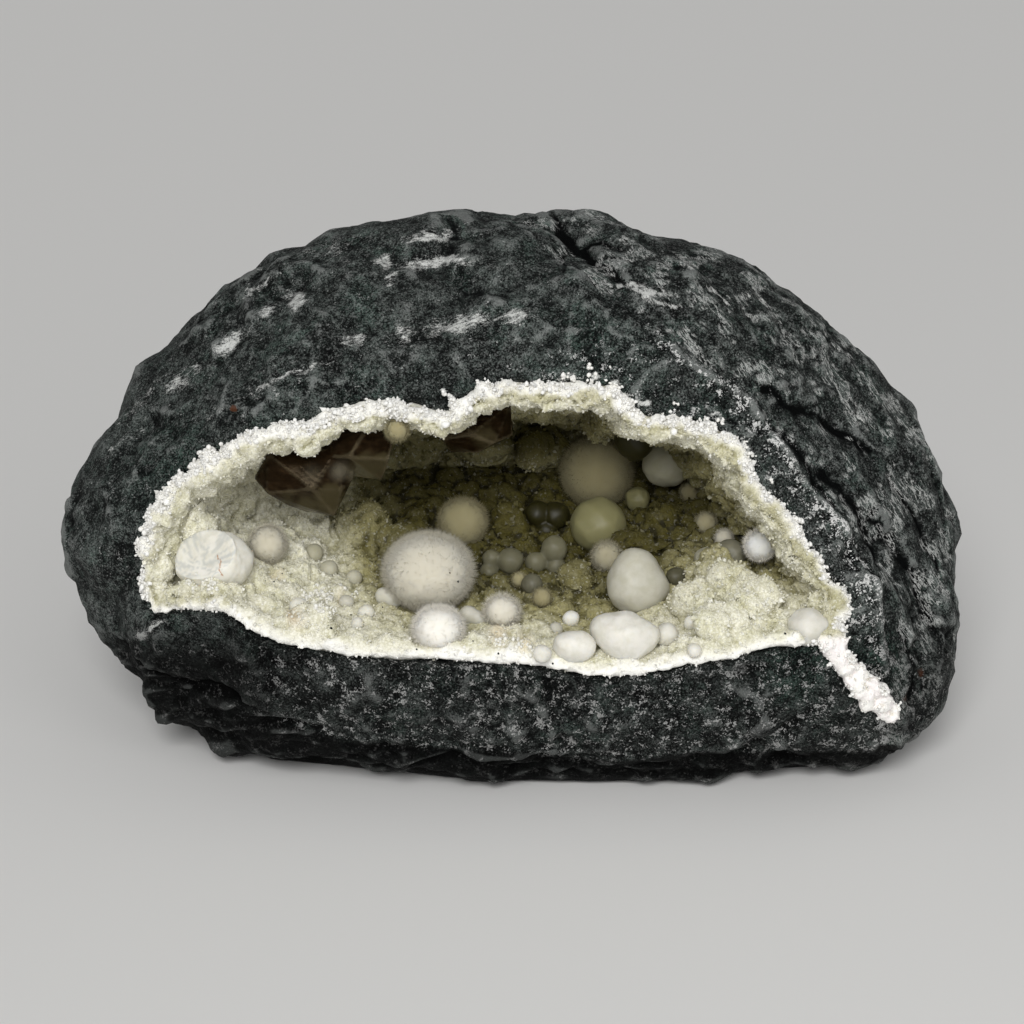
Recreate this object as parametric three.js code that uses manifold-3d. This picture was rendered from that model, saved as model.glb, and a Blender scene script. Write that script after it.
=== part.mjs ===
// Okenite puffballs in a basalt geode: a loose dome of basalt, broken open at the front. A druse of small
// crystals lines the hollow, and fibrous puffballs, smooth balls and smoky calcite blades grow on it.
// Millimetres, +Z up. The opening faces -Y, and the stone rests on a flat fracture at z = 0.
import * as THREE from 'three';
import { ConvexGeometry } from 'three/addons/geometries/ConvexGeometry.js';
import { SimplexNoise } from 'three/addons/math/SimplexNoise.js';
import { mergeVertices } from 'three/addons/utils/BufferGeometryUtils.js';
import Module from 'manifold-3d';

const wasm = await Module();
wasm.setup();

// ---- Driving dimensions -------------------------------------------------------------------------------

// The object is laid out as an eye in front of the opening sees it. A place is [across, up, toward]:
// across and up on a plane through the middle of the stone that faces the eye, and depth toward the eye.
const EYE_ELEVATION = THREE.MathUtils.degToRad(22);
const EYE_DISTANCE = 800;
const MIDDLE = new THREE.Vector3(-1.44, -8.98, 52);

const GAP = 0.3; // clearance between pieces that touch
const CLEAR = 0.4; // how much a ball or lump grows so that its flat faces move out by the gap
const POINTED_GROWTH = 1.4; // and how much more a pointed one grows

// The stone's outline, [across, up].
const STONE_OUTLINE = [
  [99, 2], [88.5, 21.5], [76, 36.5], [61.5, 48], [48, 56], [33.5, 61], [20.5, 65.5], [6.5, 64.5],
  [-6.5, 65], [-20.5, 65.5], [-35, 63], [-49.5, 57.5], [-64.5, 49.5], [-76.5, 37], [-90, 22],
  [-100.5, 3], [-98, -16], [-88, -33], [-79, -42], [-65, -51], [-34, -57], [-6, -60.5], [18, -63], [42, -60],
  [62, -57], [80, -56], [94, -52], [101, -44], [103, -28], [101.5, -14],
];
const STONE_FRONT = 40; // depth of the bulge toward the eye
const STONE_BACK = 66; // and away from it
const STONE_FULLNESS = 2.4; // 2 is an ellipsoid, more is boxier

// Fracture faces that flatten the bulge: [turn round the line of sight, tilt toward the eye, distance].
const FRACTURES = [
  [0, 90, 33.5], [25, 45, 65], [52, 40, 69], [-90, 62, 46.5], [-90, 32, 58], [95, 48, 54], [140, 38, 69],
  [215, 40, 76], [-35, 40, 92], [60, -32, 70], [118, -42, 66], [172, -28, 88], [216, -38, 78], [-30, -36, 84],
  [18, -52, 72], [80, -74, 60], [-80, -58, 62],
];
const STONE_DETAIL = 8; // how finely its skin is divided
const EDGE_SHARPNESS = 26; // how crisply the fractures meet
const NOISE_SEED = 7;
const ROUGHNESS = [[1.3, 26], [0.7, 11], [0.35, 6]]; // height and spacing of the lumps on its skin

// A chipped groove across the crown.
const GROOVE = { from: [9, 66], to: [24, 51], width: 4, depth: 3.6 };

// The edge of the hollow where it breaks the stone's face, [across, up], anticlockwise from the right.
const HOLLOW_EDGE = [
  [74, -20], [71, -14.5], [67.5, -11], [64, -5.5], [60, 0], [55.5, 4.5], [52, 9.5], [51, 14], [47.5, 17],
  [42, 19], [36, 20.5], [29.5, 20], [26.5, 24.5], [21, 28.5], [10, 28], [-1, 28.5], [-8, 27.5],
  [-11.5, 22.5], [-17, 20.5], [-22.5, 24], [-29, 24], [-36.5, 23], [-43.5, 21.5], [-47, 18.5],
  [-55, 18], [-62.5, 15], [-69.5, 10.5], [-77.5, 4.5], [-80.5, -3], [-82.5, -12], [-82.5, -20],
  [-79, -23.5], [-71, -21.5], [-67, -19.5], [-63.5, -23.5], [-58, -27], [-51, -30], [-41.5, -31.5],
  [-31, -33], [-17, -33.5], [-3, -34], [9, -35], [18, -37], [26, -37], [34, -35.5], [42, -34],
  [53, -32.5], [58.5, -30], [66, -30.5], [72, -27.5],
];
// The line along the middle of the hollow that its walls close in on, [across, up].
const HOLLOW_SPINE = [[-74, -14], [-52, -6], [-20, -4], [24, -6], [58, -19]];
const HOLLOW_FLOOR_DEPTH = -40; // toward, at the back of the hollow
const HOLLOW_BACK_AT = [8, 9]; // the middle of the back wall
const HOLLOW_BACK_NARROWING = 0.45;
// Share of the depth, and how far the walls have closed in by then.
const HOLLOW_SECTIONS = [[0, 1], [0.16, 0.93], [0.4, 0.75], [0.68, 0.52], [0.9, 0.3], [1, 0.1]];
const HOLLOW_VAULT = 0.4; // how much more slowly the roof closes in than the floor
const HOLLOW_EDGE_POINTS = 46;
const MOUTH_LENGTH = 14; // how far the cut for the hollow reaches out of the stone's face

const CRUST_THICKNESS = 4;
const CRUST_PROUD = 0.9; // how far the rim stands out of the stone's face
const CRUST_LUMP = { height: 1.1, spacing: 13 };
const RIM_KNOBS = 28;
const RIM_KNOB_RADIUS = 2.1;
const FINE_KNOB = 2.4; // radius from which a lump is rounder than a pointed crystal

// Mounds of crystals on the floor and walls: [across, up, radius].
const MOUNDS = [
  [44.5, -13.5, 4.8], [48, -18, 6], [53.5, -20, 5.4], [41, -20.5, 5.4], [46, -26, 5.4], [-24, -8, 5.4],
  [-34, -5, 5], [-0.5, -4.5, 4.4], [29, -7.5, 4.6], [35, -4.5, 4.6], [14, -16, 4], [-6, 17, 4], [6, 15, 4.4],
  [-44, -24, 4.2], [-70, -3, 4.8],
];

const MOUND_SINK = 0.6; // share of a mound's radius that lies in the crust

// A white vein that leaves the rim's lower right corner: [across, up, radius].
const VEIN = [
  [70, -27.5, 3.4], [72, -31, 3.2], [74.6, -34.6, 3.4], [77.2, -38, 3.7], [80, -41.2, 3.8], [83.2, -44, 3.4],
];
const VEIN_FLATNESS = 0.8;

// Fibrous puffballs: name, then [across, up, radius].
const PUFFBALLS = {
  front_puffball: [-18.4, -13, 10.4],
  rim_puffball: [-16.2, -25.6, 6.2],
  tuft_puffball: [-2.2, -21.8, 4.4],
  rear_puffball: [-10.8, -2.2, 6],
  left_puffball: [-53.8, -7, 4.6],
  roof_puffball: [-25.3, 18.1, 3],
  back_puffball: [18.7, 8.8, 8.6],
  middle_puffball: [20.9, -9.9, 3.9],
  right_puffball_1: [42.7, -2.4, 2.8],
  right_puffball_2: [46.7, -5.7, 2.4],
  right_puffball_3: [54.6, -7.3, 4],
  deep_puffball: [39.2, 4.4, 2.6],
  small_puffball_1: [1.6, -14.9, 2],
  small_puffball_2: [6.6, -18.9, 2.5],
};

// Smooth balls, those grown into each other in one group: name, then a list of [across, up, radius]. A fourth
// number is toward, for a ball that doesn't sit on the first crust behind it.
const BALLS = {
  cleaved_pair: [[-68.7, -11, 5.4], [-62.1, -10.6, 5.6]],
  twin_ball: [[26.7, -17.2, 5.7], [27.1, -12.3, 4.4], [31.5, -16.7, 3.1]],
  rim_cluster: [[25, -27.4, 5.8], [20, -25.4, 3], [29.7, -27.4, 2.9]],
  rim_pair: [[11.9, -29.7, 3.2], [15.2, -29.5, 3.3]],
  knob_ball: [[12.9, -23.6, 1.9]],
  shelf_ball: [[18.9, -2.9, 6.2]],
  ledge_ball: [[27.6, 2.8, 2.8]],
  ledge_bead: [[30.8, -0.2, 1.4]],
  back_ball: [[33.8, 10.4, 5.1]],
  top_ball: [[26.8, 15.6, 4.4, -6]],
  twin_side_ball: [[36.2, -14.3, 2.2]],
  rim_ball_left: [[6.7, -31.3, 2, 34.5]],
  rim_ball_right: [[34, -27.1, 2.7]],
  right_bead_1: [[39.5, -24.4, 1.6]],
  right_bead_2: [[40.2, -30.5, 1.7, 34]],
  knob_bead: [[9.7, -25.9, 1.5]],
  shell_ball: [[48, -9.4, 3.5]],
  mound_ball: [[42.8, -10.6, 2.9]],
  corner_ball: [[65.3, -25.2, 4.4]],
  middle_cluster: [[-0.3, -10.8, 2.9], [-4.5, -10.2, 2], [-5.2, -13.2, 2.1]],
  column_cluster: [[5.3, -11.2, 2.4], [9.3, -8.1, 2.9], [9.7, -12.1, 2]],
  column_bead: [[4.4, -15.9, 2.2]],
  rear_cluster: [[5.6, -0.4, 2.9], [9.7, -0.7, 3], [7.6, -4.4, 2.7]],
  tuft_pair: [[-9.7, -22.6, 2.1], [-7.2, -23.6, 1.8]],
  front_pair: [[-26.2, -18.9, 2.4], [-28.4, -18.6, 1.9]],
  left_bead_1: [[-43.6, -9, 2.1]],
  left_bead_2: [[-40.3, -12.6, 2]],
  left_bead_3: [[-34.8, -14.5, 1.7]],
  left_bead_4: [[-36.4, -19.8, 1.6]],
  left_bead_5: [[-32.2, -22.2, 1.8]],
  left_bead_6: [[-34.1, -24.6, 1.4]],
  left_bead_7: [[-47.1, -20.9, 2]],
};
const FINE_BALL = [2.3, 4, 7]; // radii above which a ball has more faces
const SEAT_STEP = 0.4; // steps in which a ball is moved back to its seat
const SEAT_SINK = 0.25; // share of a ball's radius that has grown into the crust

// Calcite blades: corners [across, up, toward] of each blade, and which blades grew together.
const CALCITE = {
  calcite_left: [
    [[-57, 7.5, 17], [-54, 13, 22], [-45, 17, 14], [-38, 14, 22], [-34.6, 8, 18], [-37.5, 5, 21], [-39, -1, 18],
      [-45.5, 0, 13], [-49.5, 1.5, 16], [-54, 4, 20], [-44, 5, 24]],
    [[-43, 12, 20], [-43, 20, 18], [-30, 22, 24], [-26, 16, 22], [-27, 11.5, 22], [-28.5, 7, 17], [-32, 7.5, 13],
      [-35.5, 8, 15], [-36, 12, 26]],
  ],
  calcite_right: [
    [[-16, 16, 20], [-12, 23, 20], [0, 24, 16], [0.5, 17, 14], [-4, 15, 20], [-7.5, 13, 17], [-13.5, 13, 13],
      [-9, 17, 23]],
  ],
};

const MATERIALS = {
  basalt: { color: 0x484c49, roughness: 0.75 },
  druse: { color: 0xd8d4b8, roughness: 0.5 },
  okenite: { color: 0xe4dfd4, roughness: 0.95 },
  pearl: { color: 0xdcd9cc, roughness: 0.35 },
  calcite: { color: 0x4a3a22, roughness: 0.1, transparent: true, opacity: 0.7 },
};

// ---- Helpers ------------------------------------------------------------------------------------------

const ACROSS = new THREE.Vector3(1, 0, 0);
const UP = new THREE.Vector3(0, Math.sin(EYE_ELEVATION), Math.cos(EYE_ELEVATION));
const TOWARD = new THREE.Vector3(0, -Math.cos(EYE_ELEVATION), Math.sin(EYE_ELEVATION));
const BIG = 400; // larger than the object

THREE.MathUtils.seededRandom(NOISE_SEED);
const noise = new SimplexNoise({ random: () => THREE.MathUtils.seededRandom() });

// Where the eye sees [across, up], toward millimetres nearer than the middle of the stone.
function seen([across, up, toward]) {
  const shrink = 1 - toward / EYE_DISTANCE;
  return MIDDLE.clone()
    .addScaledVector(ACROSS, across * shrink)
    .addScaledVector(UP, up * shrink)
    .addScaledVector(TOWARD, toward);
}

function rumple(point, spacing) {
  return noise.noise3d(point.x / spacing, point.y / spacing, point.z / spacing);
}

function solidOf(geometry) {
  const bare = new THREE.BufferGeometry().setAttribute('position', geometry.getAttribute('position'));
  bare.setIndex(geometry.index);
  const merged = mergeVertices(bare, 1e-4);
  return new wasm.Manifold(new wasm.Mesh({
    numProp: 3,
    vertProperties: new Float32Array(merged.attributes.position.array),
    triVerts: new Uint32Array(merged.index.array),
  }));
}

// The largest body of a solid, without the slivers that cutting leaves.
function largestBody(solid) {
  const bodies = solid.decompose();
  return bodies.reduce((best, body) => (body.volume() > best.volume() ? body : best), bodies[0]);
}

function meshOf(solid, name, material) {
  const { numProp, numVert, vertProperties, triVerts } = solid.getMesh();
  const positions = new Float32Array(numVert * 3);
  for (let i = 0; i < numVert; i++) {
    positions.set(vertProperties.subarray(i * numProp, i * numProp + 3), i * 3);
  }
  const geometry = new THREE.BufferGeometry()
    .setAttribute('position', new THREE.BufferAttribute(positions, 3))
    .setIndex(new THREE.BufferAttribute(triVerts, 1));
  geometry.computeVertexNormals();
  const mesh = new THREE.Mesh(geometry, material);
  mesh.name = name;
  return mesh;
}

// A smooth closed line through [across, up] corners, as evenly spaced points.
function smoothOutline(corners, count) {
  const points = corners.map(([across, up]) => new THREE.Vector3(across, up, 0));
  return new THREE.CatmullRomCurve3(points, true).getSpacedPoints(count).slice(0, count);
}

// ---- The stone ----------------------------------------------------------------------------------------

const outlineByAngle = smoothOutline(STONE_OUTLINE, 360)
  .map((p) => ({ angle: Math.atan2(p.y, p.x), radius: Math.hypot(p.x, p.y) }))
  .sort((a, b) => a.angle - b.angle);

// How far the outline lies from the middle, in a direction round the line of sight.
function outlineRadius(angle) {
  const next = outlineByAngle.findIndex((p) => p.angle >= angle);
  const b = outlineByAngle[Math.max(next, 0)];
  const a = outlineByAngle.at(next > 0 ? next - 1 : -1);
  const span = THREE.MathUtils.euclideanModulo(b.angle - a.angle, 2 * Math.PI);
  const part = THREE.MathUtils.euclideanModulo(angle - a.angle, 2 * Math.PI);
  return THREE.MathUtils.lerp(a.radius, b.radius, span ? part / span : 0);
}

const fractures = FRACTURES.map(([turn, tilt, distance]) => {
  const [t, e] = [turn, tilt].map(THREE.MathUtils.degToRad);
  return { normal: new THREE.Vector3(Math.cos(e) * Math.cos(t), Math.cos(e) * Math.sin(t), Math.sin(e)), distance };
});

const grooveLine = new THREE.Line3(new THREE.Vector3(...GROOVE.from, 0), new THREE.Vector3(...GROOVE.to, 0));

// The stone's reach from its middle along a unit direction [across, up, toward].
function stoneReach(direction) {
  const depth = direction.z > 0 ? STONE_FRONT : STONE_BACK;
  const flat = Math.hypot(direction.x, direction.y) / outlineRadius(Math.atan2(direction.y, direction.x));
  const bulge = (flat ** STONE_FULLNESS + (Math.abs(direction.z) / depth) ** STONE_FULLNESS) ** (1 / STONE_FULLNESS);
  let sum = bulge ** EDGE_SHARPNESS;
  for (const { normal, distance } of fractures) {
    sum += (Math.max(0, direction.dot(normal)) / distance) ** EDGE_SHARPNESS;
  }
  const reach = sum ** (-1 / EDGE_SHARPNESS);
  const at = direction.clone().multiplyScalar(reach);
  const lumps = ROUGHNESS.reduce((total, [height, spacing]) => total + height * rumple(at, spacing), 0);
  const groove = grooveLine.closestPointToPoint(at.clone().setZ(0), true, new THREE.Vector3());
  const off = Math.hypot(at.x - groove.x, at.y - groove.y) / GROOVE.width;
  return reach + lumps - (at.z > 0 ? GROOVE.depth * Math.exp(-(off ** 2)) : 0);
}

function stoneSolid(grown = 0) {
  const geometry = new THREE.IcosahedronGeometry(1, STONE_DETAIL);
  const positions = geometry.attributes.position;
  const direction = new THREE.Vector3();
  for (let i = 0; i < positions.count; i++) {
    direction.fromBufferAttribute(positions, i).normalize();
    const at = direction.clone().multiplyScalar(stoneReach(direction) + grown);
    positions.setXYZ(i, ...seen(at.toArray()).toArray());
  }
  const below = new THREE.BoxGeometry(BIG, BIG, BIG).translate(0, 0, -BIG / 2);
  return solidOf(geometry).subtract(solidOf(below));
}

// Depth toward the eye of the stone's face at [across, up], found by halving.
function faceDepth(across, up) {
  let [inside, outside] = [-20, 80];
  while (outside - inside > 0.02) {
    const middle = (inside + outside) / 2;
    const at = new THREE.Vector3(across, up, middle);
    if (at.length() < stoneReach(at.clone().normalize())) inside = middle;
    else outside = middle;
  }
  return inside;
}

// ---- The hollow and its crust -------------------------------------------------------------------------

const hollowEdge = smoothOutline(HOLLOW_EDGE, HOLLOW_EDGE_POINTS);
const hollowFaceDepth = hollowEdge.map((p) => faceDepth(p.x, p.y));

const hollowSpine = hollowEdge.map((point) => {
  let nearest = null;
  for (let i = 1; i < HOLLOW_SPINE.length; i++) {
    const part = new THREE.Line3(
      new THREE.Vector3(...HOLLOW_SPINE[i - 1], 0),
      new THREE.Vector3(...HOLLOW_SPINE[i], 0),
    );
    const at = part.closestPointToPoint(point, true, new THREE.Vector3());
    if (!nearest || at.distanceTo(point) < nearest.distanceTo(point)) nearest = at;
  }
  return nearest;
});

// One closed line round the hollow, at a share of its depth: width is how far the walls have closed in, inset
// how far the line lies inside the hollow's own wall, and lift how far it stands out of the stone's face.
function hollowRing(depth, width, inset, lift = 0) {
  return hollowEdge.map((edge, i) => {
    const spine = hollowSpine[i].clone();
    spine.x += (HOLLOW_BACK_AT[0] - spine.x) * HOLLOW_BACK_NARROWING * depth;
    spine.y += (HOLLOW_BACK_AT[1] - spine.y) * depth;
    const out = edge.clone().sub(hollowSpine[i]);
    const vault = HOLLOW_VAULT * Math.max(0, out.y / out.length()) * (1 - width) * (depth < 1);
    const reach = out.length() * (width + vault);
    out.normalize();
    const toward = THREE.MathUtils.lerp(hollowFaceDepth[i], HOLLOW_FLOOR_DEPTH + inset, depth) + lift;
    const at = spine.addScaledVector(out, Math.max(reach - inset, reach * 0.35));
    const lumpy = inset > 0 && lift === 0 && depth < 1;
    const lump = lumpy ? CRUST_LUMP.height * rumple({ x: at.x, y: at.y, z: toward }, CRUST_LUMP.spacing) : 0;
    return [at.x + out.x * lump, at.y + out.y * lump, toward];
  });
}

// A closed skin through rings of [across, up, toward] points, nearest the eye first, moved out by shift.
function skinOf(rings, shift) {
  const count = rings[0].length;
  const positions = rings.flat().flatMap((point) => seen(point).toArray());
  const cap = (ring) => THREE.ShapeUtils.triangulateShape(
    rings[ring].map(([across, up]) => new THREE.Vector2(across, up)), [],
  ).map((face) => face.map((i) => i + ring * count));
  const faces = [...cap(0), ...cap(rings.length - 1).map(([a, b, c]) => [a, c, b])];
  for (let ring = 1; ring < rings.length; ring++) {
    for (let i = 0; i < count; i++) {
      const [a, b] = [i, (i + 1) % count].map((k) => k + (ring - 1) * count);
      faces.push([a, a + count, b], [b, a + count, b + count]);
    }
  }
  const geometry = new THREE.BufferGeometry();
  geometry.setAttribute('position', new THREE.Float32BufferAttribute(positions, 3));
  geometry.setIndex(faces.flat());
  geometry.computeVertexNormals();
  const { position, normal } = geometry.attributes;
  for (let i = 0; i < position.count; i++) {
    position.setXYZ(
      i,
      position.getX(i) + normal.getX(i) * shift,
      position.getY(i) + normal.getY(i) * shift,
      position.getZ(i) + normal.getZ(i) * shift,
    );
  }
  return solidOf(geometry);
}

function hollowSections(inset) {
  return HOLLOW_SECTIONS.map(([depth, width]) => hollowRing(depth, width, inset));
}

// The hollow's space, its wall lying inset inside the stone's own, open past the stone's face.
function hollowSpace(inset, shift = 0) {
  return skinOf([hollowRing(0, 1, inset, MOUTH_LENGTH), ...hollowSections(inset)], shift);
}

// The same space closed in front, its broken edge just proud of the stone's face.
function hollowFilling(proud, shift = 0) {
  return skinOf([hollowRing(0, 1, 2 * CRUST_THICKNESS, proud), hollowRing(0, 1, 0, proud), ...hollowSections(0)], shift);
}

// A rough crystal lump with flat faces, turned its own way. Flatness squeezes it along the line of sight.
function knob({ centre, radius, turn, flatness = 1 }, grown = 0) {
  const geometry = radius < FINE_KNOB
    ? new THREE.OctahedronGeometry(radius + grown * POINTED_GROWTH)
    : new THREE.IcosahedronGeometry(radius + grown);
  geometry.rotateX(turn).rotateZ(turn * 1.7);
  const toEye = new THREE.Quaternion().setFromUnitVectors(new THREE.Vector3(0, 0, 1), TOWARD);
  geometry.scale(1, 1, flatness + grown / radius).applyQuaternion(toEye).translate(...centre.toArray());
  return solidOf(geometry);
}

// ---- Seats --------------------------------------------------------------------------------------------

// The crust's inner wall as loose triangles.
const wall = (() => {
  const rings = hollowSections(CRUST_THICKNESS).map((ring) => ring.map(seen));
  const triangles = [];
  for (let r = 1; r < rings.length; r++) {
    for (let i = 0; i < HOLLOW_EDGE_POINTS; i++) {
      const j = (i + 1) % HOLLOW_EDGE_POINTS;
      triangles.push(new THREE.Triangle(rings[r - 1][i], rings[r][i], rings[r - 1][j]));
      triangles.push(new THREE.Triangle(rings[r - 1][j], rings[r][i], rings[r][j]));
    }
  }
  return triangles;
})();

// How near the eye a ball seen at [across, up] lies, moved back until it has grown into the crust by sink.
function seat([across, up, radius], sink) {
  const front = faceDepth(across, up) - radius * 0.6;
  const sight = new THREE.Line3(seen([across, up, front]), seen([across, up, HOLLOW_FLOOR_DEPTH]));
  const near = wall.filter((triangle) => {
    const middle = triangle.getMidpoint(new THREE.Vector3());
    const size = middle.distanceTo(triangle.a) + middle.distanceTo(triangle.c);
    return sight.closestPointToPoint(middle, true, new THREE.Vector3()).distanceTo(middle) < radius + size;
  });
  const found = new THREE.Vector3();
  for (let toward = front; toward > HOLLOW_FLOOR_DEPTH; toward -= SEAT_STEP) {
    const centre = seen([across, up, toward]);
    if (near.some((triangle) => triangle.closestPointToPoint(centre, found).distanceTo(centre) < radius * (1 - sink))) {
      return toward;
    }
  }
  return HOLLOW_FLOOR_DEPTH;
}

function ballAt([across, up, radius], toward) {
  return { centre: seen([across, up, toward]), radius: radius * (1 - toward / EYE_DISTANCE) };
}

// A ball with flat faces, more of them the larger it is.
function ballSolid({ centre, radius }, grown = 0) {
  const size = radius + grown;
  const geometry = radius > FINE_BALL[0] && radius < FINE_BALL[1]
    ? new THREE.DodecahedronGeometry(size)
    : new THREE.IcosahedronGeometry(size, FINE_BALL.slice(1).filter((limit) => radius >= limit).length);
  return solidOf(geometry.translate(...centre.toArray()));
}

// ---- Assembly -----------------------------------------------------------------------------------------

// The crust's lumps are its mounds, the knobs along its broken edge and the beads of its vein.
const mounds = MOUNDS.map((mound, i) => ({ ...ballAt(mound, seat(mound, MOUND_SINK)), turn: i }));
const rimLine = new THREE.CatmullRomCurve3(
  hollowRing(0, 1, CRUST_THICKNESS).map(([across, up, toward]) => new THREE.Vector3(across, up, toward)),
  true,
);
const rimKnobs = rimLine.getSpacedPoints(RIM_KNOBS).slice(0, RIM_KNOBS).map((point, i) => (
  { centre: seen(point.toArray()), radius: RIM_KNOB_RADIUS * (1 + 0.25 * Math.sin(i * 2.4)), turn: i }
));
const vein = VEIN.map(([across, up, radius], i) => (
  { centre: seen([across, up, faceDepth(across, up)]), radius, turn: i, flatness: VEIN_FLATNESS }
));

function lumpsSolid(lumps, grown = 0) {
  return wasm.Manifold.union(lumps.map((lump) => knob(lump, grown)));
}

function crustSolid() {
  const lining = hollowFilling(CRUST_PROUD, -CLEAR).subtract(hollowSpace(CRUST_THICKNESS));
  const lumps = lumpsSolid([...mounds, ...rimKnobs]).intersect(hollowSpace(0, -CLEAR));
  return largestBody(wasm.Manifold.union([lining, lumps, lumpsSolid(vein)]));
}

function basaltSolid() {
  return stoneSolid().subtract(hollowSpace(0).add(lumpsSolid(vein, CLEAR)));
}

// All that the stone and its crust fill, and a gap round them: nothing else reaches into it.
function blockedSolid() {
  const whole = stoneSolid(CLEAR).add(hollowFilling(CRUST_PROUD + CLEAR));
  return whole.subtract(hollowSpace(CRUST_THICKNESS, -CLEAR)).add(lumpsSolid([...mounds, ...rimKnobs, ...vein], CLEAR));
}

const materials = Object.fromEntries(Object.entries(MATERIALS).map(([name, look]) => (
  [name, new THREE.MeshStandardMaterial({ name, metalness: 0, ...look })]
)));

const group = new THREE.Group();
group.add(meshOf(basaltSolid(), 'basalt', materials.basalt));
group.add(meshOf(crustSolid(), 'druse_crust', materials.druse));

const blocked = blockedSolid();
const placed = []; // every ball already in the hollow

// Adds one ball or a group grown together, cut back to stand clear of the crust and of those placed before.
function place(name, lobes, material) {
  const toward = lobes[0][3] ?? seat(lobes[0], SEAT_SINK);
  const balls = lobes.map((lobe) => ballAt(lobe, toward));
  const near = placed.filter((other) => (
    balls.some((ball) => ball.centre.distanceTo(other.centre) < ball.radius + other.radius + 1)
  ));
  const whole = wasm.Manifold.union(balls.map((ball) => ballSolid(ball)));
  const obstacles = wasm.Manifold.union([blocked, ...near.map((other) => ballSolid(other, CLEAR))]);
  group.add(meshOf(largestBody(whole.subtract(obstacles)), name, material));
  placed.push(...balls);
}

for (const [name, puffball] of Object.entries(PUFFBALLS)) {
  place(name, [puffball], materials.okenite);
}
for (const [name, lobes] of Object.entries(BALLS)) {
  place(name, lobes, materials.pearl);
}
const filled = wasm.Manifold.union([blocked, ...placed.map((ball) => ballSolid(ball, CLEAR))]);
for (const [name, blades] of Object.entries(CALCITE)) {
  const whole = wasm.Manifold.union(blades.map((corners) => solidOf(new ConvexGeometry(corners.map(seen)))));
  group.add(meshOf(largestBody(whole.subtract(filled)), name, materials.calcite));
}

export default group;
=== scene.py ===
import math
from itertools import product

import bmesh
import bpy
import numpy as np
from bpy.props import FloatProperty, FloatVectorProperty, IntProperty, PointerProperty
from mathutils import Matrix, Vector, noise
from mathutils.bvhtree import BVHTree


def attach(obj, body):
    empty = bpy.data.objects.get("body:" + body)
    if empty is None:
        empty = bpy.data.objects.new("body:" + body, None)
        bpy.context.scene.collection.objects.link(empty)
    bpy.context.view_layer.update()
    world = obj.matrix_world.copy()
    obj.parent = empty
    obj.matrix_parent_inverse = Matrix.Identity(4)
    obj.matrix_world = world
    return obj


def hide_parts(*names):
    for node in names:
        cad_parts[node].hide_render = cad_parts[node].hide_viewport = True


bl_info = {
    "name": "Okenite puffball geode",
    "version": (1, 0, 0),
    "blender": (4, 5, 0),
    "location": "View3D > Sidebar > Geode",
    "description": "A basalt geode with a druse lining, fibrous puffballs, smooth balls and smoky calcite",
    "category": "Add Mesh",
}

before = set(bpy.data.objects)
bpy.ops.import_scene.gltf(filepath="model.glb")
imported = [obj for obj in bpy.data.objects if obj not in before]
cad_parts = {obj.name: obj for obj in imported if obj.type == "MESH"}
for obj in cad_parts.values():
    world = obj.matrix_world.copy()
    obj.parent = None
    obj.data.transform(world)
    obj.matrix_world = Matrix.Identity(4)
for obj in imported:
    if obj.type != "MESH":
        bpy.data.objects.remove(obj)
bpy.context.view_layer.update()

MM = 0.001
# A fibre's and a crystal's faces, by the numbers of its corners.
FIBRE_FACES = [(0, 1, 3), (1, 2, 3), (2, 0, 3), (0, 2, 1)]
FIBRE_POINTS = 4
CRYSTAL_FACES = [(0, 2, 1), (0, 3, 2), (0, 1, 3), (4, 1, 2), (4, 2, 3), (4, 3, 1)]
CRYSTAL_POINTS = 5

# ---- The eye that the stone is laid out for, as in the part's source, in millimetres --------------------
EYE_ELEVATION = math.radians(22)
EYE_DISTANCE = 800.0
MIDDLE = np.array([-1.44, -8.98, 52.0])
ACROSS = np.array([1.0, 0.0, 0.0])
UP = np.array([0.0, math.sin(EYE_ELEVATION), math.cos(EYE_ELEVATION)])
TOWARD = np.array([0.0, -math.cos(EYE_ELEVATION), math.sin(EYE_ELEVATION)])
FLANK_ALONG = ACROSS * 0.57 - UP * 0.82  # the way the right flank's grooves run
FLANK_OVER = ACROSS * 0.82 + UP * 0.57
VIEW_WIDTH = 225.6  # how wide the camera sees at the middle of the stone

# ---- The stone's own features, laid out as [across, up] -------------------------------------------------
RIGHT_RIDGE = [(30, 40), (41, 31), (51, 25), (63, 9), (73, -6), (80, -24), (82, -41), (79, -51)]
LOWER_EDGE = [
    (-90, -22), (-67.6, -39.2), (-36.8, -49.1), (-2.6, -51.3), (23.8, -53.5), (41.4, -51.3), (78.9, -51.3),
]
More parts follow.
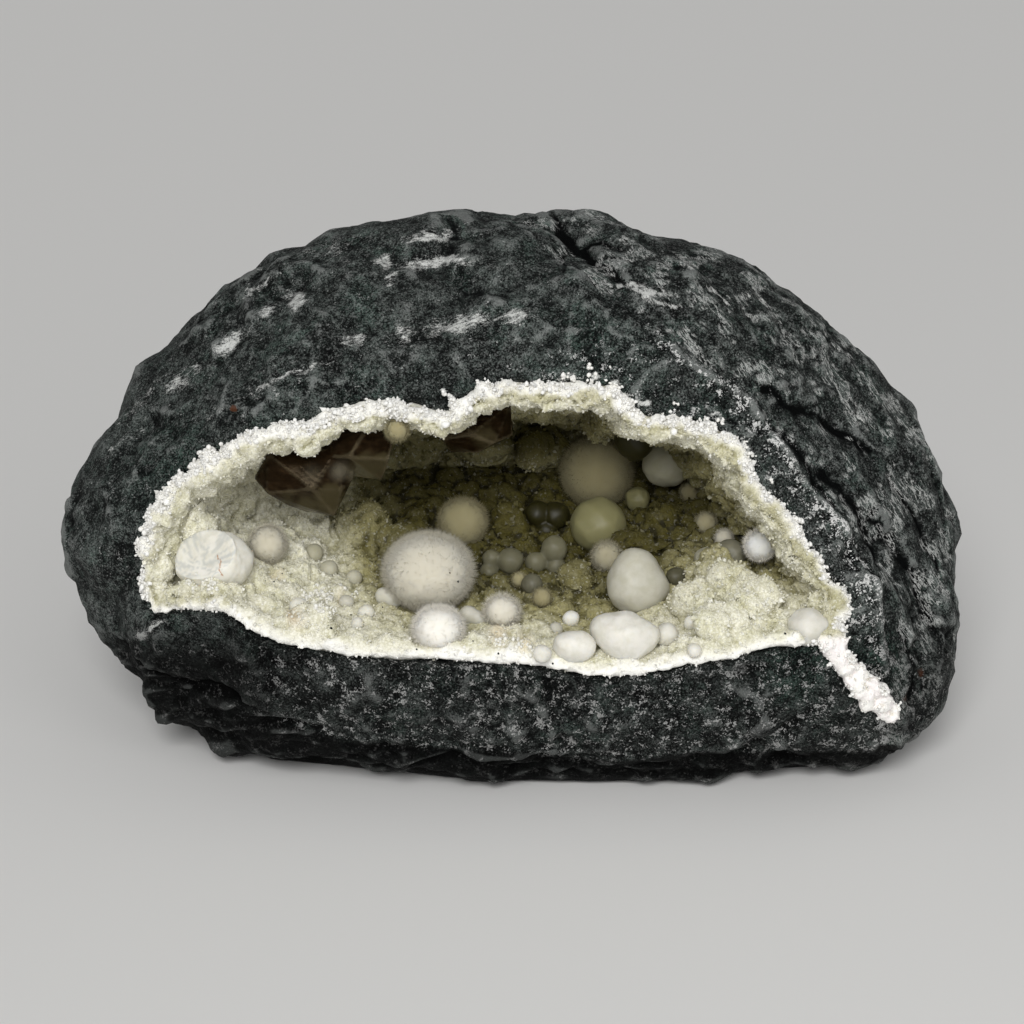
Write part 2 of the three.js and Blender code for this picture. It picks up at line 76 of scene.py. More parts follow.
# Cracks, gouges and recesses: points, width, depth.
GOUGES = [
    ([(10.6, 63.4), (16, 58.5), (22.9, 52.9)], 1.7, 2.2),
    ([(14.5, 60), (19, 60.5), (24, 59.2)], 0.9, 0.9),
    ([(17, 57), (22, 57), (27, 55)], 0.8, 0.8),
    ([(13, 61), (11.5, 57), (11.8, 53)], 0.8, 0.7),
    ([(56.4, 27.3), (61, 24.5), (65.2, 22.9)], 2.0, 2.2),
    ([(70.5, 20.3), (74, 17), (77.5, 15)], 2.2, 2.3),
    ([(60, 17), (66, 10.5), (71, 2)], 1.2, 1.1),
    ([(69.5, 9), (77, 0.5), (80.5, -8)], 1.5, 1.5),
    ([(83.7, -5.3), (87, -10), (90.5, -15), (93.4, -22)], 2.8, 3.6),
    ([(80.5, 1.2), (79.2, -1.6), (82, -3)], 0.8, 0.9),
    ([(84, 8), (90, -1), (94.5, -12)], 1.0, 1.2),
    ([(86, -26), (89, -34), (88, -42)], 1.0, 1.0),
    ([(-69.5, -38.6), (-65, -39.6), (-60.5, -41.4)], 2.2, 3.2),
    ([(-86, -29), (-78, -35.5), (-71, -39.5)], 1.2, 1.6),
    ([(-62, 55), (-70, 40), (-78, 31)], 0.8, 0.5),
]
# Chalky white smears: across, up, length, width, turn in degrees, strength.
SMEAR_ALONG = ACROSS * 0.96 + UP * 0.28
SMEAR_OVER = UP * 0.96 - ACROSS * 0.28
SMEARS = [
    (-18, 60.5, 10, 2.2, 8, 0.9), (-17, 55, 15, 2.6, 4, 0.9), (-28, 55, 3.2, 3.2, 60, 0.8),
    (-27, 51.5, 3, 1.8, 10, 0.8), (-47.5, 47, 5, 3.4, 20, 0.9), (-53.5, 44.4, 3.6, 2.2, 20, 0.8),
    (-45, 57, 3, 3, 30, 0.5), (-39, 58, 6, 3.4, 20, 0.5), (-57, 49, 9.5, 1, 32, 0.7),
    (-62, 37.5, 8, 3.6, 30, 0.85), (-70, 32, 3, 2.6, 30, 0.7), (-74, 28, 6, 3.2, 34, 0.7),
    (-49, 30, 20, 1.2, 24, 0.8), (-34.5, 38, 4.6, 3, 20, 0.8), (-24, 39, 5, 2.4, 10, 0.7),
    (-11, 41.5, 14, 4, 8, 0.8), (0.5, 43, 7, 3.4, 8, 0.75), (28, 49, 13, 2, -12, 0.9),
    (33, 46, 8, 1.2, -20, 0.7), (46, 48, 9, 1.4, -34, 0.7), (38, 55, 9, 1.2, -30, 0.55),
    (60, 40, 10, 1.2, -38, 0.5), (54, 47, 8, 1.4, -32, 0.6), (-84, 22, 9, 0.8, 40, 0.6),
    (-80, 27, 10, 0.8, 42, 0.6), (-87, 15, 8, 0.8, 46, 0.6), (-83, 17, 9, 0.7, 42, 0.5),
    (-15, 26, 1.6, 1.4, 0, 1.0), (12.5, 29.6, 3, 1.6, -10, 1.0), (18, 29.8, 2.6, 1.6, -20, 1.0),
    (22, 28.4, 3, 1.2, 10, 0.9), (29.3, 24, 2.4, 2, 20, 1.0), (51.5, 14.5, 3.6, 2.2, -60, 0.9),
    (45, 21, 5, 2, -40, 0.8), (-79, -25.5, 4, 1.6, 30, 1.0), (-82, -27.5, 2, 3.4, 0, 0.9),
    (63.5, 7, 5, 1.8, -58, 0.6), (72.5, -4.4, 4, 1.8, -50, 0.5), (50, -34, 3, 1.6, 20, 0.8),
    (-55, 26, 8, 1.4, 26, 0.5), (-66, 22, 9, 1.6, 32, 0.5), (-35, 26.6, 9, 1.4, 12, 0.5),
    (77, 22, 10, 1, -52, 0.5), (83, 12, 10, 1, -56, 0.5), (72, 33, 8, 1, -44, 0.5),
]
# Greenish and rusty patches: across, up, radius, strength.
GREEN_PATCHES = [
    (63, -35, 9, 1.0), (81, -33, 8, 0.9), (-50, 12, 14, 0.4), (20, 33, 12, 0.45), (-75, 5, 14, 0.5),
    (36, 12, 10, 0.4),
]
RUST_SPOTS = [
    (-61.7, 22.9, 1.8, 1.0), (90, -35.5, 2.2, 0.9), (86.6, -40.8, 2, 0.8), (-86, 6, 1.6, 0.5),
    (52, -46, 2, 0.5),
]
# White crusts on the stone beside the rim and white flakes on the hollow's floor: across, up, radius, grains.
WHITE_BITS = [
    (11.5, 29.8, 0.9, 10), (13.3, 29.4, 0.8, 8), (17.8, 29.4, 1.0, 9), (20.8, 30.2, 0.9, 8),
    (22.6, 29.2, 1.1, 10), (24, 28.4, 0.9, 7), (21.8, 31.6, 0.5, 4), (17, 32.2, 0.5, 4), (29.4, 24, 1.1, 14),
    (36, 24, 0.5, 4), (-15, 26, 0.7, 6), (-79, -25.5, 1.0, 16), (-80, -27.5, 0.8, 8), (-77.8, -28, 0.7, 8),
    (-82.6, -25, 0.6, 6), (51, 14.6, 0.9, 8), (53, 12.6, 0.7, 6), (46, 19.6, 0.7, 5), (57, 6.6, 0.6, 5),
]
FLAKES = [
    (-45, -18.7, 1.6, 26), (-42.5, -17.4, 1.2, 16), (-40.6, -18.9, 1.5, 22), (-41.8, -21.2, 1.4, 18),
    (-39.4, -22, 1.0, 10), (-70, -15.4, 1.6, 24), (-66.6, -16, 1.6, 22), (-2.5, -28.5, 1.6, 16),
    (1.4, -29.3, 1.6, 14), (4, -30.2, 1.2, 8), (-34.5, -17.9, 0.7, 5), (-37.5, -16.4, 0.6, 4),
]
# Dark crumbs: across, up.
CRUMBS = [
    (-52.4, -15.4), (-49.1, -15.6), (-35.5, -22.7), (-39.9, -25.6), (-28.5, -21), (-8.6, -28.4),
    (-13.7, -13.4), (-11.9, -15.3), (-54.3, -15.1), (-50.6, -13.6), (-21, -30.2), (9, -33.4), (-46, -12.9),
    (60.2, -26.8), (-3, -31.2),
]
# Where crystals have heaped up in the hollow: across, up, radius, strength.
HEAPS = [
    (45, -12, 5, 1.0), (48, -17, 7, 0.9), (42, -20, 6, 0.8), (54, -21, 7, 0.7), (-24, -8, 6, 0.7),
    (-34, -5, 6, 0.7), (0, -4.5, 5, 0.8), (30, -7, 6, 0.9), (36, -6, 6, 0.8), (14, -16, 5, 0.6),
    (-6, 17, 6, 0.8), (6, 15, 6, 0.8), (-44, -24, 5, 0.5), (-70, -3, 6, 0.6), (20, 17, 7, 0.7),
]
# Warm coloured patches on the hollow's floor: across, up, radius, strength.
WARM_PATCHES = [
    (-47.4, -24.2, 2.4, 1.0), (-3, -28, 2.6, 0.6), (2.5, -29.4, 2.4, 0.6), (-52, -14.6, 2.0, 0.4),
    (-38, -20, 1.5, 0.3),
]
# The mound at the right that stands up into the light, with less painted shade: across, up, radius, strength.
MOUND = [(44, -18, 12, 1.0), (34, -27, 10, 1.0), (54, -26, 12, 1.0)]
# The balls that have sunk into the hollow's walls.
SUNKEN = (
    "right_puffball_1", "right_puffball_2", "right_puffball_3", "deep_puffball", "back_ball", "top_ball",
    "ledge_ball", "small_puffball_1", "small_puffball_2", "left_bead_1", "left_bead_2", "roof_puffball",
)
# The puffballs and smooth balls: [across, up, radius] of each ball in a node.
BALLS = {
    "front_puffball": [(-18.4, -13, 10.4)], "rim_puffball": [(-16.2, -25.6, 6.2)],
    "tuft_puffball": [(-2.2, -21.8, 4.4)], "rear_puffball": [(-10.8, -2.2, 6)],
    "left_puffball": [(-53.8, -7, 4.6)], "roof_puffball": [(-25.3, 18.1, 3)],
    "back_puffball": [(18.7, 8.8, 8.6)], "middle_puffball": [(20.9, -9.9, 3.9)],
    "right_puffball_1": [(42.7, -2.4, 2.8)], "right_puffball_2": [(46.7, -5.7, 2.4)],
    "right_puffball_3": [(54.6, -7.3, 4)], "deep_puffball": [(39.2, 4.4, 2.6)],
    "small_puffball_1": [(1.6, -14.9, 2)], "small_puffball_2": [(6.6, -18.9, 2.5)],
    "cleaved_pair": [(-68.7, -11, 5.4), (-62.1, -10.6, 5.6)],
    "twin_ball": [(26.7, -17.2, 5.7), (27.1, -12.3, 4.4), (31.5, -16.7, 3.1)],
    "rim_cluster": [(25, -27.4, 5.8), (20, -25.4, 3), (29.7, -27.4, 2.9)],
    "rim_pair": [(11.9, -29.7, 3.2), (15.2, -29.5, 3.3)], "knob_ball": [(12.9, -23.6, 1.9)],
    "shelf_ball": [(18.9, -2.9, 6.2)], "ledge_ball": [(27.6, 2.8, 2.8)],
    "ledge_bead": [(30.8, -0.2, 1.4)], "back_ball": [(33.8, 10.4, 5.1)], "top_ball": [(26.8, 15.6, 4.4)],
    "twin_side_ball": [(36.2, -14.3, 2.2)], "rim_ball_left": [(6.7, -31.3, 2)],
    "rim_ball_right": [(34, -27.1, 2.7)], "right_bead_1": [(39.5, -24.4, 1.6)],
    "right_bead_2": [(40.2, -30.5, 1.7)], "knob_bead": [(9.7, -25.9, 1.5)],
    "shell_ball": [(48, -9.4, 3.5)], "mound_ball": [(42.8, -10.6, 2.9)],
    "corner_ball": [(65.3, -25.2, 4.4)],
    "middle_cluster": [(-0.3, -10.8, 2.9), (-4.5, -10.2, 2), (-5.2, -13.2, 2.1)],
    "column_cluster": [(5.3, -11.2, 2.4), (9.3, -8.1, 2.9), (9.7, -12.1, 2)],
    "column_bead": [(4.4, -15.9, 2.2)],
    "rear_cluster": [(5.6, -0.4, 2.9), (9.7, -0.7, 3), (7.6, -4.4, 2.7)],
    "tuft_pair": [(-9.7, -22.6, 2.1), (-7.2, -23.6, 1.8)],
    "front_pair": [(-26.2, -18.9, 2.4), (-28.4, -18.6, 1.9)], "left_bead_1": [(-43.6, -9, 2.1)],
    "left_bead_2": [(-40.3, -12.6, 2)], "left_bead_3": [(-34.8, -14.5, 1.7)],
    "left_bead_4": [(-36.4, -19.8, 1.6)], "left_bead_5": [(-32.2, -22.2, 1.8)],
    "left_bead_6": [(-34.1, -24.6, 1.4)], "left_bead_7": [(-47.1, -20.9, 2)],
}


def seen(across, up, toward):
    """Where the eye sees across and up, toward millimetres nearer than the middle of the stone."""
    shrink = 1 - toward / EYE_DISTANCE
    return MIDDLE + ACROSS * across * shrink + UP * up * shrink + TOWARD * toward


def as_seen(points):
    """The across, up and toward of each point, all in millimetres."""
    away = points - MIDDLE
    toward = away @ TOWARD
    shrink = 1 - toward / EYE_DISTANCE
    return np.stack([away @ ACROSS / shrink, away @ UP / shrink, toward], axis=1)


# ---- Numbers over a surface -------------------------------------------------------------------------------
def step(low, high, values):
    """0 below low, 1 above high, smooth between them."""
    t = np.clip((values - low) / (high - low), 0, 1)
    return t * t * (3 - 2 * t)


def rumple(points, spacing, octaves=1, shift=0.0):
    """Smooth noise of about -1 to 1, with finer noise on it for each further octave."""
    total = np.zeros(len(points))
    for octave in range(octaves):
        scaled = (points * (2**octave / spacing) + 17.3 * (octave + 1) + shift).tolist()
        total += np.array([noise.noise(p) for p in scaled]) * 0.5**octave
    return total * 1.5


def scatter_of(corner, salt):
    """Three numbers from 0 to 1 for each cell of a grid, always the same for a cell and a salt."""
    keys = np.array([[127.1, 311.7, 74.7], [269.5, 183.3, 246.1], [113.5, 271.9, 124.6]]) + salt
    return np.modf(np.abs(np.sin(corner @ keys.T) * 43758.5453))[0]


def scars(points, spacing, depth, slope=0.0, salt=0.0):
    """Shell-shaped scars of broken stone: shallow bowls that meet in ridges."""
    cell = np.floor(points / spacing)
    lowest = np.full(len(points), np.inf)
    for offset in product((-1, 0, 1), repeat=3):
        corner = cell + offset
        away = points - (corner + scatter_of(corner, salt)) * spacing
        tilt = (scatter_of(corner, salt + 5.0) - 0.5) * 2 * slope
        height = (away**2).sum(1) * (4 * depth / spacing**2) + (away * tilt).sum(1)
        lowest = np.minimum(lowest, height)
    return lowest - depth * 0.7


def chips(points, spacing, height, salt=0.0):
    """Nearly flat chips of broken stone that meet in ridges and in creases."""
    slope = 1.1 * height / spacing
    hollow, raised = (scars(points, spacing, height * 0.5, slope, salt + other) for other in (0, 31))
    return hollow - raised


def buds(points, spacing, height, salt=0.0):
    """Round buds side by side, such as a druse's crystals make."""
    cell = np.floor(points / spacing)
    nearest = np.full(len(points), np.inf)
    for offset in product((-1, 0, 1), repeat=3):
        corner = cell + offset
        away = points - (corner + scatter_of(corner, salt)) * spacing
        size = 0.7 + 0.6 * scatter_of(corner, salt + 3.0)[:, 0]
        nearest = np.minimum(nearest, (away**2).sum(1) / size)
    return height * (1 - np.minimum(nearest / spacing**2 * 2.2, 1.4))


def line_distance(flat, corners):
    """Signed distance from points to a line through corners, above zero on its left side."""
    best = np.full(len(flat), np.inf)
    sign = np.ones(len(flat))
    for start, end in zip(corners, corners[1:]):
        start, end = np.array(start, float), np.array(end, float)
        along = end - start
        share = np.clip(((flat - start) @ along) / (along @ along), 0, 1)
        away = flat - start - share[:, None] * along
        distance = np.hypot(away[:, 0], away[:, 1])
        side = along[0] * away[:, 1] - along[1] * away[:, 0]
        nearer = distance < best
        best = np.where(nearer, distance, best)
        sign = np.where(nearer, np.where(side >= 0, 1.0, -1.0), sign)
    return best * sign


def beyond(tree, flat):
    """Where the eye first meets a tree's surface across and up, and the surface's normal there."""
    eye = MIDDLE + TOWARD * EYE_DISTANCE
    hits = [tree.ray_cast(eye.tolist(), (seen(across, up, 0.0) - eye).tolist())[:2] for across, up in flat]
    hits = [hit for hit in hits if hit[0] is not None and hit[1] @ Vector(TOWARD) > 0]
    return np.array([at[:] for at, _ in hits]), np.array([normal[:] for _, normal in hits])


# ---- Meshes -----------------------------------------------------------------------------------------------
def corners_of(node):
    """A CAD node's corners and triangles, welded, in millimetres."""
    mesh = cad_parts[node].data
    mesh.calc_loop_triangles()
    points = np.empty(len(mesh.vertices) * 3, np.float32)
    mesh.vertices.foreach_get("co", points)
    triangles = np.empty(len(mesh.loop_triangles) * 3, np.int32)
    mesh.loop_triangles.foreach_get("vertices", triangles)
    points = points.reshape(-1, 3).astype(float) / MM
    _, first, where = np.unique(np.round(points, 3), axis=0, return_index=True, return_inverse=True)
    return points[first], where.ravel()[triangles].reshape(-1, 3)


def tree_of(points, triangles):
    """A mesh as a search tree."""
    return BVHTree.FromPolygons(points.tolist(), triangles.tolist())


def remeshed(points, triangles, size):
    """The same shape as an even net of quads of that size, in millimetres."""
    mesh = bpy.data.meshes.new("net")
    mesh.from_pydata((points * MM).tolist(), [], triangles.tolist())
    source = bpy.data.objects.new("net", mesh)
    bpy.context.scene.collection.objects.link(source)
    net = source.modifiers.new("net", "REMESH")
    net.mode = "VOXEL"
    net.voxel_size = size * MM
    made = source.evaluated_get(bpy.context.evaluated_depsgraph_get()).to_mesh()
    co = np.empty(len(made.vertices) * 3, np.float32)
    made.vertices.foreach_get("co", co)
    quads = np.array([tuple(p.vertices) for p in made.polygons if len(p.vertices) == 4])
    bpy.data.objects.remove(source)
    return co.reshape(-1, 3).astype(float) / MM, quads


def finer_where(points, faces, chosen):
    """Splits the chosen faces in four and makes triangles of all."""
    mesh = bpy.data.meshes.new("net")
    mesh.from_pydata(points.tolist(), [], faces.tolist())
    grid = bmesh.new()
    grid.from_mesh(mesh)
    bpy.data.meshes.remove(mesh)
    grid.faces.ensure_lookup_table()
    sides = {side for index in np.flatnonzero(chosen).tolist() for side in grid.faces[index].edges}
    bmesh.ops.subdivide_edges(grid, edges=list(sides), cuts=1, use_grid_fill=True)
    bmesh.ops.triangulate(grid, faces=grid.faces)
    points = np.array([v.co[:] for v in grid.verts])
    faces = np.array([[v.index for v in f.verts] for f in grid.faces])
    grid.free()
    return points, faces


def edges_of(faces):
    """Both ends of every side of the faces, each way round."""
    following = np.roll(faces, -1, 1)
    ends = np.concatenate([np.stack([faces[:, i], following[:, i]], 1) for i in range(faces.shape[1])])
    return np.concatenate([ends, ends[:, ::-1]])


def relaxed(points, faces, times, share=0.5):
    """Points eased toward the mean of their neighbours, over and over, each by a share of the way."""
    ends = edges_of(faces)
    count = np.bincount(ends[:, 0], minlength=len(points))[:, None]
    share = np.broadcast_to(np.asarray(share, float).reshape(-1, 1), (len(points), 1))
    for _ in range(times):
        total = np.stack([np.bincount(ends[:, 0], points[ends[:, 1], k], len(points)) for k in range(3)], 1)
        points = points + (total / count - points) * share
    return points


def normals_of(points, faces):
    """A unit normal at each point."""
    a, b = points[faces[:, 2]] - points[faces[:, 0]], points[faces[:, -1]] - points[faces[:, 1]]
    flat = np.cross(a, b)
    total = np.zeros_like(points)
    for k in range(faces.shape[1]):
        for axis in range(3):
            total[:, axis] += np.bincount(faces[:, k], flat[:, axis], len(points))
    return total / np.maximum(np.linalg.norm(total, axis=1, keepdims=True), 1e-9)


def nearest(tree, points):
    """Distance from each point to a tree's surface."""
    return np.array([tree.find_nearest(p)[3] for p in points.tolist()])


def on_surface(tree, points):
    """The place on a tree's surface nearest to each point."""
    return np.array([tree.find_nearest(p)[0][:] for p in points.tolist()])


def merged(*meshes):
    """Several meshes' points and triangles as one."""
    starts = np.cumsum([0] + [len(points) for points, _ in meshes[:-1]])
    points = np.concatenate([points for points, _ in meshes])
    return points, np.concatenate([faces + start for (_, faces), start in zip(meshes, starts)])


def beneath(tree, points):
    """How far each point lies under a tree's surface, below zero outside it."""
    depths = []
    for p in points.tolist():
        at, normal, _, distance = tree.find_nearest(p)
        depths.append(distance if (Vector(p) - at).dot(normal) < 0 else -distance)
    return np.array(depths)


def make_piece(name, points, faces, finishes, replaces=(), marks=None, smooth=True, finish_of=None):
    """Adds a piece from points in millimetres, with a number on every point for each of its marks."""
    mesh = bpy.data.meshes.new(name)
    mesh.from_pydata((points * MM).tolist(), [], faces.tolist())
    for mark, values in (marks or {}).items():
        attribute = mesh.attributes.new(mark, "FLOAT", "POINT")
        attribute.data.foreach_set("value", np.asarray(values, np.float32))
    for finish in finishes:
        mesh.materials.append(finish)
    mesh.polygons.foreach_set("use_smooth", np.full(len(mesh.polygons), smooth))
    if finish_of is not None:
        mesh.polygons.foreach_set("material_index", np.asarray(finish_of, np.int32))
    mesh.update()
    piece = bpy.data.objects.new(name, mesh)
    bpy.context.scene.collection.objects.link(piece)
    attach(piece, "root")
    if replaces:
        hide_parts(*replaces)


def frames_along(axes, draw):
    """Two unit vectors square to each axis, turned at random about it."""
    helper = np.where(np.abs(axes[:, 2:3]) < 0.9, [[0.0, 0.0, 1.0]], [[1.0, 0.0, 0.0]])
    side = np.cross(axes, helper)
    side /= np.linalg.norm(side, axis=1, keepdims=True)
    other = np.cross(axes, side)
    turn = draw.uniform(0, 2 * math.pi, (len(axes), 1))
    return side * np.cos(turn) + other * np.sin(turn), other * np.cos(turn) - side * np.sin(turn)


def unit(vectors):
    """The vectors at a length of 1."""
    return vectors / np.maximum(np.linalg.norm(vectors, axis=-1, keepdims=True), 1e-9)


def repeated(faces, times, corners):
    """The same faces for each of several like shapes with that many corners."""
    starts = np.arange(times) * corners
    return (np.asarray(faces)[None] + starts[:, None, None]).reshape(-1, 3)


def crystals(roots, axes, lengths, widths, draw):
    """Small pointed crystals with flat faces, one at each root: points and triangles."""
    side, other = frames_along(axes, draw)
    lengths, widths = lengths[:, None], widths[:, None]
    belt = roots + axes * lengths * draw.uniform(0.2, 0.6, (len(roots), 1))
    points = np.stack([
        roots - axes * lengths * 0.3,
        belt + side * widths,
        belt - side * widths * 0.5 + other * widths * 0.87,
        belt - side * widths * 0.5 - other * widths * 0.87,
        roots + axes * lengths,
    ], 1)
    return points.reshape(-1, 3), repeated(CRYSTAL_FACES, len(roots), CRYSTAL_POINTS)


def fibres(roots, tips, widths, draw):
    """Hair-fine closed spikes from roots to tips: points and triangles."""
    side, other = frames_along(unit(tips - roots), draw)
    widths = widths[:, None]
    points = np.stack([
        roots + side * widths,
        roots - side * widths * 0.5 + other * widths * 0.87,
        roots - side * widths * 0.5 - other * widths * 0.87,
        tips,
    ], 1)
    return points.reshape(-1, 3), repeated(FIBRE_FACES, len(roots), FIBRE_POINTS)


def strewn(points, faces, count, weights, draw):
    """Places strewn over triangles by weight and area: where, the triangle's normal and which it is."""
    corners = points[faces]
    cross = np.cross(corners[:, 1] - corners[:, 0], corners[:, 2] - corners[:, 0])
    area = np.linalg.norm(cross, axis=1)
    share = area * weights
    picked = draw.choice(len(faces), count, p=share / share.sum())
    u, v = draw.random((2, count, 1))
    flip = u + v > 1
    u, v = np.where(flip, 1 - u, u), np.where(flip, 1 - v, v)
    where = corners[picked, 0] * (1 - u - v) + corners[picked, 1] * u + corners[picked, 2] * v
    return where, unit(cross[picked]), picked


def ball_net(level):
    """A unit ball's points and triangles."""
    grid = bmesh.new()
    bmesh.ops.create_icosphere(grid, subdivisions=level, radius=1)
    points = np.array([v.co[:] for v in grid.verts])
    faces = np.array([[v.index for v in f.verts] for f in grid.faces])
    grid.free()
    return points, faces


DEPTHS = (-45, 45, 0.05)  # where the balls may stand, toward the eye, and the step between tries
ON_BALL = 0.04  # how near a ball's skin a corner lies that is on it


def lobes_of(node):
    """A node's balls, centre and radius. They lie at the depth at which most of its corners are on them."""
    corners = corners_of(node)[0]
    lobes = BALLS[node]
    depths = np.arange(*DEPTHS)
    hits = np.zeros(len(depths))
    for across, up, radius in lobes:
        centres = seen(across, up, depths[:, None])
        far = np.linalg.norm(corners[None] - centres[:, None], axis=2)
        hits += (np.abs(far - radius * (1 - depths[:, None] / EYE_DISTANCE)) < ON_BALL).sum(1)
    toward = depths[hits >= hits.max()].mean()
    return [(seen(across, up, toward), radius * (1 - toward / EYE_DISTANCE)) for across, up, radius in lobes]


REACH = 30.0  # farther from its middle than any group of balls goes
HALVINGS = 20  # how often the gap in which the skin lies is halved


def blended(lobes, level, softness):
    """One body grown from several balls, with the necks between them filled by so many millimetres."""
    net, triangles = ball_net(level)
    middle = sum(centre * radius**3 for centre, radius in lobes) / sum(radius**3 for _, radius in lobes)
    near, far = np.zeros(len(net)), np.full(len(net), REACH)
    for _ in range(HALVINGS):
        reach = (near + far) / 2
        places = middle + net * reach[:, None]
        depths = np.stack([radius - np.linalg.norm(places - centre, axis=1) for centre, radius in lobes])
        inside = np.exp(depths / softness).sum(0) > 1.1
        near, far = np.where(inside, reach, near), np.where(inside, far, reach)
    return middle + net * near[:, None], triangles


def grains(places, sizes, draw):
    """Rounded grains, one at each place: points and triangles."""
    net, triangles = ball_net(1)
    lumps = draw.uniform(0.75, 1.2, (len(places), len(net), 1))
    stretches = draw.uniform(0.65, 1.35, (len(places), 1, 3))
    points = places[:, None] + net[None] * (lumps * stretches) * sizes[:, None, None]
    return points.reshape(-1, 3), repeated(triangles, len(places), len(net))


def sprigs(roots, axes, sizes, length, draw):
    """Knobbly sprigs, each a wandering row of grains that overlap: the grains' places and sizes."""
    places, radii, at, heading = [], [], roots.copy(), axes.copy()
    for turn in range(length):
        alive = draw.random(len(at)) < (1.0 if turn == 0 else 0.66)
        at, heading, sizes = at[alive], heading[alive], sizes[alive] * 0.93
        places.append(at.copy())
        radii.append(sizes * draw.uniform(0.8, 1.15, len(at)))
        heading = unit(heading + draw.normal(0, 0.45, at.shape))
        at = at + heading * sizes[:, None]
    return np.concatenate(places), np.concatenate(radii)


# ---- Finishes ---------------------------------------------------------------------------------------------
class Wire:
    """A socket on its way through a finish. Arithmetic on it adds Math nodes."""

    def __init__(self, finish, socket):
        self.finish, self.socket = finish, socket

    def maths(self, operation, *terms, clipped=False):
        """Adds a Math node."""
        settings = {"operation": operation, "use_clamp": clipped}
        return self.finish.node("ShaderNodeMath", settings, dict(enumerate(terms)))

    def __add__(self, other):
        return self.maths("ADD", self, other)

    def __radd__(self, other):
        return self.maths("ADD", other, self)

    def __sub__(self, other):
        return self.maths("SUBTRACT", self, other)

    def __rsub__(self, other):
        return self.maths("SUBTRACT", other, self)

    def __mul__(self, other):
        return self.maths("MULTIPLY", self, other)

    def __rmul__(self, other):
        return self.maths("MULTIPLY", other, self)

    def __pow__(self, other):
        return self.maths("POWER", self, other)

    def __rpow__(self, other):
        return self.maths("POWER", other, self)

    def clip(self):
        """The value held between 0 and 1."""
        return self.maths("ADD", self, 0.0, clipped=True)

    def above(self, low, high):
        """0 where the value is below low, 1 above high, smooth between."""
        sockets = {"Value": self, "From Min": low, "From Max": high}
        return self.finish.node("ShaderNodeMapRange", {"interpolation_type": "SMOOTHSTEP"}, sockets)


class Finish:
    """A material whose nodes are written as expressions."""

    def __init__(self, name):
        self.material = bpy.data.materials.new(name)
        self.material.use_nodes = True
        self.tree = self.material.node_tree
        self.tree.nodes.clear()
        self.out = self.tree.nodes.new("ShaderNodeOutputMaterial")
        self.place = self.node("ShaderNodeTexCoord", {}, {}, "Object")

    def node(self, kind, settings, sockets, output=0):
        """Adds a node. Settings are set first, then its sockets take values or wires."""
        made = self.tree.nodes.new(kind)
        for key, value in settings.items():
            setattr(made, key, value)
        for key, value in sockets.items():
            if isinstance(value, Wire):
                self.tree.links.new(value.socket, made.inputs[key])
            else:
                made.inputs[key].default_value = value
        return Wire(self, made.outputs[output])

    def mark(self, name):
        """The number that the mesh carries under that name."""
        return self.node("ShaderNodeAttribute", {"attribute_name": name}, {}, "Fac")

    def stretched(self, by, turn):
        """The place on the object, turned and stretched."""
        return self.node("ShaderNodeMapping", {}, {"Vector": self.place, "Scale": by, "Rotation": turn})

    def turned(self, axes):
        """The place on the object measured along three axes, each as long as its stretch."""
        dot = {"operation": "DOT_PRODUCT"}
        parts = [
            self.node("ShaderNodeVectorMath", dot, {0: self.place, 1: tuple(axis)}, "Value") for axis in axes
        ]
        return self.node("ShaderNodeCombineXYZ", {}, dict(enumerate(parts)))

    def grain(self, size, detail=2.0, rough=0.5, place=None):
        """Noise from 0 to 1 with lumps of that size in millimetres."""
        sockets = {"Vector": place or self.place, "Scale": 1 / (size * MM)}
        return self.node("ShaderNodeTexNoise", {}, {**sockets, "Detail": detail, "Roughness": rough})

    def pebbles(self, size, output="Distance"):
        """Cells of that size in millimetres: how far off the middle of each is, or a colour for each."""
        return self.node("ShaderNodeTexVoronoi", {}, {"Vector": self.place, "Scale": 1 / (size * MM)}, output)

    def mix(self, factor, first, second, blend="MIX"):
        """One colour turning into another, or multiplied by it, as the factor says."""
        settings = {"data_type": "RGBA", "blend_type": blend}
        return self.node("ShaderNodeMix", settings, {0: factor, 6: first, 7: second}, 2)

    def bump(self, height, distance, strength=1.0):
        """The normal over relief whose height of 1 is that many millimetres."""
        sockets = {"Height": height, "Distance": distance * MM, "Strength": strength}
        return self.node("ShaderNodeBump", {}, sockets)

    def surface(self, sockets):
        """Finishes the material with a shader that takes these sockets."""
        shader = self.node("ShaderNodeBsdfPrincipled", {}, sockets)
        self.tree.links.new(shader.socket, self.out.inputs["Surface"])
        return self.material


def rgb(colour):
    """A colour with its alpha, as a socket takes it."""
    return (*colour, 1.0)


